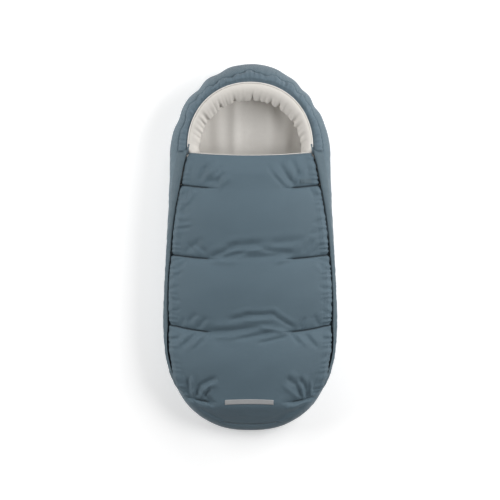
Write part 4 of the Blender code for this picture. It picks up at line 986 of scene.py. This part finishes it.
def cut_slots(piece, low, high):
    """Cuts the three harness slots through a layer of the back."""
    for number, (x, y) in enumerate(SLOTS):
        a, b = SLOT_SIZE[0] / 2 + SLOT_BINDING, SLOT_SIZE[1] / 2 + SLOT_BINDING
        corners = np.array([(x - a, y - b), (x + a, y - b), (x + a, y + b), (x - a, y + b)])
        sections = np.stack([np.column_stack([corners, np.full(4, z)]) for z in (low, high)])
        points, faces = swept(sections)
        cutter = add_piece(f"slot_cutter_{number}", points, faces, piece.data.materials[0])
        cutter.hide_render = True
        cut = piece.modifiers.new(cutter.name, "BOOLEAN")
        cut.operation = "DIFFERENCE"
        cut.solver = "EXACT"
        cut.object = cutter
    applied(piece)
    for number in range(len(SLOTS)):
        bpy.data.objects.remove(bpy.data.objects[f"slot_cutter_{number}"], do_unlink=True)
    piece.data.shade_smooth()
    piece.data.set_sharp_from_angle(angle=math.radians(50))


def pod_ring():
    """Outline and rim of the whole pod, finely divided for its shell and its band."""
    return tuple(whole(part) for part in half_ring(150, 150, 70))


def make_shell():
    """The padded pod: outside, the wall with its relief; inside, the same wall at the wadding's depth, which thins out
    towards the rim. Shrunken rings close the floor, below and above."""
    out, rim = pod_ring()
    lower = np.linspace(0, math.pi / 2, 12)[:-1]
    upper = np.linspace(0, math.pi / 2, 44)
    grid, normal = wall(out, rim, lower, upper)
    angle = np.concatenate([np.zeros(len(lower)), upper])[None]
    relief = wall_relief(grid, angle, hood_angle(out)[:, None])
    relief[:, :2] *= (0, 0.4)
    normal[:, -1] = unit(normal[:, -2] + UP)
    outer = grid + normal * relief[..., None]
    depth = SHELL + WADDING * (1 - smooth(upper, math.radians(45), math.radians(64)))
    inner_depth = np.concatenate([np.full(len(lower), SHELL + WADDING), depth])
    inner = grid - normal * inner_depth[None, :, None]
    inner[:, -1, :2] = grid[:, -1, :2]
    inner[:, -1, 2] = grid[:, -1, 2] - SHELL
    keep = np.concatenate([np.arange(0, len(lower), 2), len(lower) + np.arange(0, len(upper), 3)])
    shares = (0.12, 0.35, 0.6, 0.85)
    under, floor = UP * BASE, UP * (BASE + SHELL + WADDING)
    rings = [under + (outer[:, 0] - under) * share for share in shares]
    rings += [outer[:, k] for k in range(outer.shape[1])] + [inner[:, k] for k in keep[::-1]]
    rings += [floor + (inner[:, 0] - floor) * share for share in shares[::-1]]
    points, faces = swept(np.stack(rings))
    shell = add_piece("pod_shell", points, faces, material("shell cloth", woven, colours().shell))
    cut_slots(shell, BASE - 0.01, FLOOR + 0.01)
    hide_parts("back_shell", "back_wadding")
    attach(shell, "pod")


BAND_STATIONS = 154


def make_band():
    """Gathered band: the wall from the wavy seam up to the rim and a little down inside it. It stands off by a steep
    rise at the seam, a sine up to the rim, fine ripples and the pleats' folds."""
    out, rim = pod_ring()
    right = np.arange(BAND_STATIONS)
    order = np.concatenate([len(out) - right[:0:-1], right])
    out, rim = out[order], rim[order]
    theta = hood_angle(out)[:, None]
    seam = band_seam_angle(theta)
    u = np.linspace(0, 1, 26)[None]
    angle = seam + (math.pi / 2 - seam) * u
    surface = upper_wall(out, rim, angle)
    lean = unit(np.cross(np.gradient(surface, axis=1), np.gradient(surface, axis=0)))
    lean *= np.sign(lean[len(lean) // 2, 3] @ np.array([0, 1.0, 0]))
    own = wall_relief(surface, angle, theta)
    puff = 0.0032 * (1 - (1 - np.minimum(u / 0.10, 1)) ** 2) ** 0.5 + 0.0034 * np.sin(math.pi * u**1.15)
    puff = puff * (1 - 0.85 * smooth(u, 0.70, 1.0))
    fine = 0.0008 * np.sin(theta * 1.7 + 2.5 * np.sin(theta * 0.23)) * np.sin(math.pi * u) ** 0.5
    pleats = gathers(theta, BAND_PLEATS, BAND_PLEAT_WIDTH)
    folds = -0.0034 * pleats * np.sin(math.pi * np.clip(u * 0.9 + 0.1, 0, 1)) ** 0.8
    top = surface + lean * (own + puff + fine + folds + 0.0004)[..., None]
    under = surface + lean * (np.minimum(own, 0) - 0.0012)[..., None]
    inward = unit(np.column_stack([rim[:, :2] - out, np.zeros(len(out))]))
    lip = ((0.0018, 0.0012), (0.0024, -0.0012), (0.0018, -0.0036))
    turned = np.stack([rim + inward * a + np.array([0, 0, b]) for a, b in lip], 1)
    section = np.concatenate([top, turned, under[:, :0:-1]], 1)
    # painted shade: the band's first columns by the seam are drawn darker, as the shadow of the fold along the seam
    at_seam = np.zeros(section.shape[:2])
    at_seam[:, :3] = (0.9, 0.7, 0.25)
    points, faces = swept(section)
    cloth = material("band cloth", woven, colours().band, seam=True)
    band = add_piece("hood_gathered_band", points, faces, cloth,
                     np.concatenate([at_seam.ravel(), [0, 0]]))
    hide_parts("hood_band", "hood_elastic")
    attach(band, "pod")


# Section of the fleece roll, from the rim over the top, in and back under: shares of the way to its inner edge, and
# heights as shares of its depth
ROLL_SECTION = np.array((
    (0.07, -0.04), (0.09, 0.03), (0.12, 0.075), (0.17, 0.11), (0.25, 0.13), (0.36, 0.12), (0.50, 0.06),
    (0.63, -0.05), (0.75, -0.19), (0.85, -0.35), (0.94, -0.53), (0.99, -0.70), (0.98, -0.86), (0.90, -0.98),
    (0.74, -1.04), (0.52, -1.04), (0.28, -1.00), (0.06, -0.92), (-0.02, -0.76), (-0.02, -0.50), (0.02, -0.26),
    (0.05, -0.12),
))
ROLL_DEPTH = 0.040
ROLL_INNER_HALF_WIDTH, ROLL_INNER_REACH, ROLL_INNER_CENTRE_Y = 0.131, 0.135, 0.2457
ROLL_STATIONS = 241
# the bead of lighter white along the rim is a painted highlight on the fleece's folded edge
HIGHLIGHT_BEAD_RADIUS, HIGHLIGHT_BEAD_INSET, HIGHLIGHT_BEAD_LIFT = 0.0012, 0.0040, 0.0026


def make_roll():
    """Fleece roll inside the hood: its section is carried from the rim to the inner edge round the hood, and radial
    gathers cut into it along its own normals, deepest at its inner edge. Its ends bend down towards the foot. A round
    piping follows the rim."""
    turn = np.linspace(-math.pi / 2, math.pi / 2, ROLL_STATIONS)
    side = np.sign(turn)
    rim_x, rim_y = super_arc(turn, RIM_HALF_WIDTH, RIM_REACH, RIM_POWER)
    inner_x, inner_y = super_arc(turn, ROLL_INNER_HALF_WIDTH, ROLL_INNER_REACH, RIM_POWER)
    corner = zip_point(RIM_CENTRE_Y, ZIP_TO_POD, GAP + SHELL)
    rim_z = corner[2] + (BASE + CROWN_RIM_HEIGHT - corner[2]) * np.cos(turn) ** 2
    rim = np.stack([side * rim_x, RIM_CENTRE_Y + rim_y, rim_z], -1)
    inner = np.stack([side * inner_x, ROLL_INNER_CENTRE_Y + inner_y], -1)
    theta = np.degrees(np.arctan2(inner[:, 0], inner[:, 1] - RIM_CENTRE_Y))
    theta = np.where(np.abs(turn) > 1.45, side * (88 + 40 * (np.abs(turn) - 1.45)), theta)
    across = inner - rim[:, :2]
    direction = unit(across)
    grow = ROLL_SECTION[None, :, 0] * np.linalg.norm(across, axis=1)[:, None]
    up = ROLL_SECTION[None, :, 1] * ROLL_DEPTH * np.ones((ROLL_STATIONS, 1))

    # gathers: sharp and from the inner edge at the head, broader and right over the roll at its lower sides
    inwardness = smooth(ROLL_SECTION[:, 0], 0.05, 1.0)[None]
    low_down = smooth(np.abs(theta), 48, 56)
    sharp = gathers(theta, ROLL_GATHERS, 1.6) * (1 - low_down) + gathers(theta, ROLL_GATHERS, 2.1) * low_down
    creases = (sharp + 0.30 * gathers(theta, ROLL_GATHERS, 4.5))[:, None]
    bulge = gathers(theta, ROLL_GATHERS, 7.0)[:, None]
    low_down = low_down[:, None]
    reach = (inwardness**8 + 0.20 * inwardness**1.5) * (1 - low_down) + 0.95 * inwardness**1.2 * low_down
    fine = np.sin(theta * 1.35 + 2.0 * np.sin(theta * 0.21))[:, None]
    swell = (0.0016 * bulge - props().roll_gather * creases) * reach + 0.0004 * fine * inwardness
    seam = bell(np.abs(theta) - 43.5, 0.8)[:, None] * -0.0012
    normal_r, normal_u = np.gradient(up, axis=1), -np.gradient(grow, axis=1)
    length = np.hypot(normal_r, normal_u)
    push = (swell + seam * (inwardness + 0.3)) * (ROLL_SECTION[:, 1] > -0.95)[None]
    grow, up = grow - normal_r / length * push, up - normal_u / length * push

    plan = rim[:, None, :2] + direction[:, None] * grow[..., None]
    sections = np.dstack([plan, rim[:, None, 2] - 0.0015 + up])
    tail = np.linspace(0, 1, 9)[1:, None, None]
    drop = np.array([0, -0.016, 0]) * tail + np.array([0, 0, -0.0065]) * tail**2
    sections = np.concatenate([(sections[:1] + drop)[::-1], sections, sections[-1:] + drop])
    points, faces = swept(sections)
    piece = add_piece("fleece_roll", points, faces, fleece_cloth())
    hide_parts("collar_fleece", "collar_filling")
    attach(piece, "pod")

    # painted highlight: a thin bead of lighter white where the fleece's folded edge catches the light
    bead = np.linspace(0, 2 * math.pi, 8, endpoint=False)
    ring = np.dstack([
        rim[:, None, :2] + direction[:, None] * (HIGHLIGHT_BEAD_INSET - HIGHLIGHT_BEAD_RADIUS * np.cos(bead))[None, :, None],
        rim[:, None, 2] + HIGHLIGHT_BEAD_LIFT + HIGHLIGHT_BEAD_RADIUS * np.sin(bead)[None] * np.ones((ROLL_STATIONS, 1)),
    ])
    points, faces = swept(ring)
    white = material("white piping", napped, FLEECE_EDGE_HIGHLIGHT, 900.0, 0.0002)
    trim = add_piece("fleece_edge_highlight_bead", points, faces, white)
    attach(trim, "pod")


# Upright folds of the fleece behind the head: x at y 0.3, how far x changes with y, width and height
BACK_FOLDS = ((-0.085, -0.05, 0.016, 0.0030), (-0.040, 0, 0.013, 0.0034), (0.052, 0, 0.018, 0.0038),
              (0.098, 0.1, 0.015, 0.0030), (0.005, 0, 0.02, -0.0014))


def make_back_lining():
    """Fleece bowl over the pod's back: the wall followed at the wadding's depth, up to under the zip tape, and an even
    floor of shrunken rings, with soft upright folds behind the head and a slow wave under the legs."""
    out, rim = (whole(part) for part in half_ring(90, 90, 40))
    lower = np.linspace(0, math.pi / 2, 9)[:-1]
    upper = np.linspace(0, math.radians(63), 16)
    grid, normal = wall(out, rim, lower, upper)
    depth = np.concatenate([np.full(len(lower), 1.0), 1 - smooth(upper, math.radians(44), math.radians(62))])
    deep = (SHELL + 0.0016 + WADDING * depth)[None, :, None]

    def bowl(sheet):
        """The floor's rings, then the wall's."""
        height = float(sheet[:, 0, 2].mean())
        flat = sheet[:, 0] * np.array([1, 1, 0]) + height * UP
        rings = [flat * share + height * UP * (1 - share) for share in np.linspace(0.04, 0.96, 34)]
        return np.stack(rings + [sheet[:, k] for k in range(sheet.shape[1])], 1)

    top, bottom = bowl(grid - normal * (deep + LINING)), bowl(grid - normal * deep)
    x, y = top[..., 0], top[..., 1]
    behind_head = smooth(y, 0.20, 0.27) * (1 - smooth(np.hypot(x / 0.16, (y - 0.28) / 0.155), 0.75, 1.0))
    folds = sum(height * bell(x - place - lean * (y - 0.3), width) for place, lean, width, height in BACK_FOLDS)
    broad = 0.0012 * np.sin(x * 52 + 1.4) * np.sin(y * 17)
    top[..., 2] += behind_head * folds + broad * (1 - smooth(np.abs(x), 0.10, 0.15)) * smooth(y, -0.4, -0.2)
    points, faces = swept(np.concatenate([top, bottom[:, ::-1]], 1).swapaxes(0, 1))
    cloth = material("back fleece", napped, colours().back, 560.0)
    piece = add_piece("back_fleece_lining", points, faces, cloth)
    cut_slots(piece, BASE, FLOOR + 0.02)
    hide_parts("back_lining")
    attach(piece, "pod")


# Section of the zip's fold: ways down the wall from the rim and heights off it, then its nose over the zip
FOLD_REACH = np.array((0.0, 0.002, 0.0045, 0.007, 0.010, 0.013, 0.016, 0.0185, 0.0205, 0.0218, 0.0226))
FOLD_LIFT = np.array((0.0101, 0.0098, 0.0086, 0.0068, 0.0058, 0.0050, 0.0045, 0.0041, 0.0035, 0.0024, 0.0006))
NOSE_BULGE = np.array((0.0003, 0.0010, 0.0034, 0.0037))
NOSE_RISE = np.array((0.0012, 0.0045, 0.0080, 0.0094))
FOLD_STITCH_AT = 0.0172


def make_plackets():
    """Folded strip beside each zip: its section follows the wall from the rim down, measured along the wall, and its
    nose leans over the zip. Puckers run along its stitching, and it thins out at both ends."""
    rows, columns = 261, 60
    y = np.linspace(POD_ZIP_TOP_Y, ZIP_END_Y, rows)
    rim = zip_point(y, ZIP_TO_POD, GAP + SHELL)
    out = np.stack([outline_half_width(y), y], -1)
    surface = upper_wall(out, rim, np.linspace(math.pi / 2, 0, columns)[None])
    lean = unit(np.cross(np.gradient(surface, axis=0), np.gradient(surface, axis=1)))
    lean *= np.sign(lean[rows // 2, columns // 2, 0])
    lean[:, 0] = unit(lean[:, 1] + UP)
    step = np.linalg.norm(np.diff(surface, axis=1), axis=2)
    travelled = np.concatenate([np.zeros((rows, 1)), np.cumsum(step, 1)], 1)
    place = np.array([np.interp(FOLD_REACH, t, np.arange(columns)) for t in travelled])
    low = np.clip(place.astype(int), 0, columns - 2)
    part = (place - low)[..., None]
    row = np.arange(rows)[:, None]
    base = surface[row, low] * (1 - part) + surface[row, low + 1] * part
    tilt = unit(lean[row, low] * (1 - part) + lean[row, low + 1] * part)

    steep = np.clip(np.linalg.norm(out - rim[:, :2], axis=1) / 0.030, 0, 1)
    ends = np.sqrt(np.clip(np.minimum((y[0] - y) / 0.010, (y - y[-1]) / 0.030), 0, 1))
    pucker = np.sin(y * 420 + 2.4 * np.sin(y * 61)) * 0.6 + np.sin(y * 173 + 1.5 * np.sin(y * 39 + 1)) * 0.8
    height = FOLD_LIFT[None] * (0.42 + 0.58 * steep)[:, None] * (0.10 + 0.90 * ends)[:, None]
    down_fold = np.sin(math.pi * np.linspace(0.1, 1, len(FOLD_LIFT)))[None]
    height = height + 0.00055 * pucker[:, None] * down_fold * ends[:, None]
    stitch = 0.0010 * bell(FOLD_REACH - FOLD_STITCH_AT, 0.0011)[None]
    upper = base + tilt * (height - stitch)[..., None]
    under = base[:, ::-1] + tilt[:, ::-1] * 0.0003
    side = unit(np.column_stack([rim[:, :2] - out, np.zeros(rows)]))
    wave = (1 + 0.12 * pucker * ends)[:, None]
    # the fold leans less where the slider comes to rest at the foot
    bulge = NOSE_BULGE * (1 - 0.85 * smooth(-y, 0.19, 0.25))[:, None]
    nose = rim[:, None] + side[:, None] * (bulge * wave * (0.35 + 0.65 * ends)[:, None])[..., None]
    rise = NOSE_RISE[None] * ((0.10 + 0.90 * ends) * (0.62 + 0.38 * steep))[:, None]
    section = np.concatenate([nose + UP * rise[..., None], upper, under], 1)
    for word, flip in (("right", 1), ("left", -1)):
        points, faces = swept(section * np.array([flip, 1, 1]))
        piece = add_piece("zip_fold_" + word, points, faces, placket_cloth())
        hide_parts("zip_placket_" + word)
        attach(piece, "pod")


THREAD_RADIUS = 0.0004


def coil(name, y0, y1, inner, outer, finish, node, body, flip):
    """Nylon coil: a thread wound in an oval spiral between two distances from the zip's middle. Its turns fall at
    fixed places along the zip, so the coils of the pod and the cover lie between one another."""
    pitch = props().coil_pitch
    step = pitch / 8
    along = np.arange(math.ceil(min(y0, y1) / step), math.floor(max(y0, y1) / step) + 1)[::-1] * step
    phase = 2 * math.pi * along / pitch
    middle, half = (inner + outer) / 2, abs(outer - inner) / 2
    path = zip_point(along, middle + half * np.cos(phase), 0.0013 + 0.0008 * np.sin(phase))
    ahead = unit(np.gradient(path, axis=0))
    across = unit(np.cross(ahead, UP))
    above = np.cross(across, ahead)
    ring = np.linspace(0, 2 * math.pi, 4, endpoint=False)
    sections = path[:, None] + THREAD_RADIUS * (np.cos(ring)[None, :, None] * across[:, None]
                                                + np.sin(ring)[None, :, None] * above[:, None])
    points, faces = swept(sections * np.array([flip, 1, 1]))
    piece = add_piece(name, points, faces, finish)
    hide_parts(node)
    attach(piece, body)


def make_coils():
    """The wound coils of the pod, the cover and the flap, on both sides."""
    nylon = material("coil nylon", ribbed, colours().coil, 2400.0, 1, 0.00005, 0.4)
    pod_side, cover_side = (-0.0004, 0.0026), (0.0004, -0.0026)
    runs = (
        ("pod_coil", POD_ZIP_TOP_Y - 0.0023, ZIP_END_Y + 0.0023, pod_side, "pod_zip_coil", "pod"),
        ("cover_coil", FLAP_SEAM[1] - 0.0004, ZIP_END_Y, cover_side, "cover_zip_coil", "cover"),
        ("flap_coil", COVER_ZIP_TOP_Y + 0.008, FLAP_SEAM[1] + 0.0004, cover_side, "flap_zip_coil", "flap"),
    )
    for name, y0, y1, sides, node, body in runs:
        for word, flip in (("right", 1), ("left", -1)):
            coil(f"{name}_{word}", y0, y1, *sides, nylon, f"{node}_{word}", body, flip)


def dress_nodes():
    """Materials for the CAD nodes that stay in view, by a word of their names."""
    tones = colours()
    tape = material("zip tape", ribbed, tones.tape, 5200.0, 1, 0.00006, 0.75)
    webbing = material("slot webbing", ribbed, tones.tape, 3600.0, 0, 0.00012, 0.7)
    metal = material("slider paint", painted_metal, tones.metal)
    grip = material("grip cloth", dotted_grip, tones.grip)
    finishes = {"zip_tape": tape, "harness_slot": webbing, "zip_slider": metal, "zip_pull": metal, "_stop_": metal,
                "grip_panel": grip}
    for name, node in frame["nodes"].items():
        for word, finish in finishes.items():
            if word in name:
                for slot in node.material_slots:
                    slot.material = finish


WHITE = (1.0, 1.0, 1.0, 1.0)
AMBIENT = 0.10
FLOOR_HALF, FLOOR_Z, FLOOR_GREY, FLOOR_GLOW = 4.0, -0.0004, 0.92, 0.32
# Round soft lamps: name, place and watts, all turned to the object's middle
LAMPS = (
    ("head softbox", (0.0, 2.195, 1.064), 11.6),
    ("head right softbox", (1.884, 1.108, 1.064), 27.1),
    ("head left softbox", (-1.884, 1.108, 1.064), 13.9),
    ("right softbox", (1.697, 0.020, 1.747), 31.0),
    ("left softbox", (-2.175, 0.020, 1.064), 29.0),
)
LAMP_SIZE = 1.4
LAMP_AIM = Vector((0, 0.02, 0.05))
CAMERA_PLACE, CAMERA_ABOVE = (-0.0005, -0.0065, 0.060), 20.0
VIEW_WIDTH = 1.300


def make_stage():
    """Pale floor, soft lamps and the camera over the middle of the object."""
    scene = bpy.context.scene
    n = Nodes(bpy.data.materials.new("studio floor"))
    n.finish((FLOOR_GREY, FLOOR_GREY, FLOOR_GREY, 1.0), 0.9, Specular_IOR_Level=0.0, Emission_Color=WHITE)
    plain = Value(n, n.shader.outputs[0])
    glow = n.add("ShaderNodeEmission", (), {"Color": WHITE, "Strength": FLOOR_GLOW})
    lit = n.add("ShaderNodeAddShader", (), (glow, plain))
    n.feed(n.tree.nodes["Material Output"].inputs["Surface"],
           n.add("ShaderNodeMixShader", (), (n.seen(), plain, lit)))
    mesh = bpy.data.meshes.new("studio_floor")
    corners = ((-1, -1), (1, -1), (1, 1), (-1, 1))
    mesh.from_pydata([(x * FLOOR_HALF, y * FLOOR_HALF, FLOOR_Z) for x, y in corners], [], [(0, 1, 2, 3)])
    mesh.materials.append(n.owner)
    ground = bpy.data.objects.new("studio_floor", mesh)
    scene.collection.objects.link(ground)
    air = Nodes(bpy.data.worlds.new("studio air"), "Background")
    air.feed(air.shader.inputs["Color"], WHITE)
    air.feed(air.shader.inputs["Strength"], air.seen().math("MAXIMUM", AMBIENT))
    scene.world = air.owner
    for name, place, watts in LAMPS:
        lamp = bpy.data.lights.new(name, "AREA")
        lamp.shape = "DISK"
        lamp.size = LAMP_SIZE
        lamp.energy = watts
        item = bpy.data.objects.new(name, lamp)
        item.location = place
        item.rotation_euler = (LAMP_AIM - Vector(place)).to_track_quat("-Z", "Y").to_euler()
        scene.collection.objects.link(item)
    lens = bpy.data.cameras.new("overhead camera")
    lens.lens = lens.sensor_width * CAMERA_ABOVE / VIEW_WIDTH
    camera = bpy.data.objects.new("overhead camera", lens)
    camera.location = Vector(CAMERA_PLACE) + Vector((0, 0, CAMERA_ABOVE))
    scene.collection.objects.link(camera)
    scene.camera = camera
    scene.view_settings.view_transform = "Standard"


def operator(name, label, words, work):
    """One add-on operator that runs one maker function."""

    def execute(self, context):
        work()
        return {"FINISHED"}

    body = {"__doc__": words, "bl_idname": "footmuff." + name, "bl_label": label, "bl_options": {"REGISTER"},
            "execute": execute}
    return type("FOOTMUFF_OT_" + name, (bpy.types.Operator,), body)


OPERATORS = (
    operator("stage", "Stage", "Add the floor, lamps and camera", make_stage),
    operator("shell", "Pod shell", "Make the padded pod", make_shell),
    operator("lining", "Back lining", "Make the fleece on the pod's back", make_back_lining),
    operator("band", "Hood band", "Make the gathered band of the hood", make_band),
    # its piping is a lighter bead, a painted highlight on the fleece's folded edge
    operator("roll", "Fleece roll", "Make the fleece roll and its piping", make_roll),
    operator("plackets", "Zip folds", "Make the folded strips beside the zips", make_plackets),
    operator("coils", "Zip coils", "Wind the zips' coils", make_coils),
    operator("quilt", "Quilted cover", "Make the quilted cover, foot and linings", make_quilt),
    operator("flap_edge", "Flap edge", "Bind the flap's top edge", make_flap_edge),
    operator("trim", "Trim", "Lay on the reflective strip and the blank tag", make_trim),
    operator("finishes", "Zip finishes", "Give the frame's own pieces their finish", dress_nodes),
)


class FOOTMUFF_PT_panel(bpy.types.Panel):
    """Lists the footmuff's operators, sizes and colours."""

    bl_label = "Footmuff"
    bl_idname = "FOOTMUFF_PT_panel"
    bl_space_type = "VIEW_3D"
    bl_region_type = "UI"
    bl_category = "Footmuff"

    def draw(self, context):
        for kind in OPERATORS:
            self.layout.operator(kind.bl_idname)
        for group in (context.scene.footmuff_sizes, context.scene.footmuff_colours):
            for key in group.__annotations__:
                self.layout.prop(group, key)


CLASSES = (FootmuffSizes, FootmuffColours, *OPERATORS, FOOTMUFF_PT_panel)


def register():
    for kind in CLASSES:
        bpy.utils.register_class(kind)
    bpy.types.Scene.footmuff_sizes = bpy.props.PointerProperty(type=FootmuffSizes)
    bpy.types.Scene.footmuff_colours = bpy.props.PointerProperty(type=FootmuffColours)


def unregister():
    del bpy.types.Scene.footmuff_colours
    del bpy.types.Scene.footmuff_sizes
    for kind in reversed(CLASSES):
        bpy.utils.unregister_class(kind)


def main():
    register()
    for kind in OPERATORS:
        getattr(bpy.ops.footmuff, kind.bl_idname.split(".")[1])()


if __name__ == "__main__":
    main()
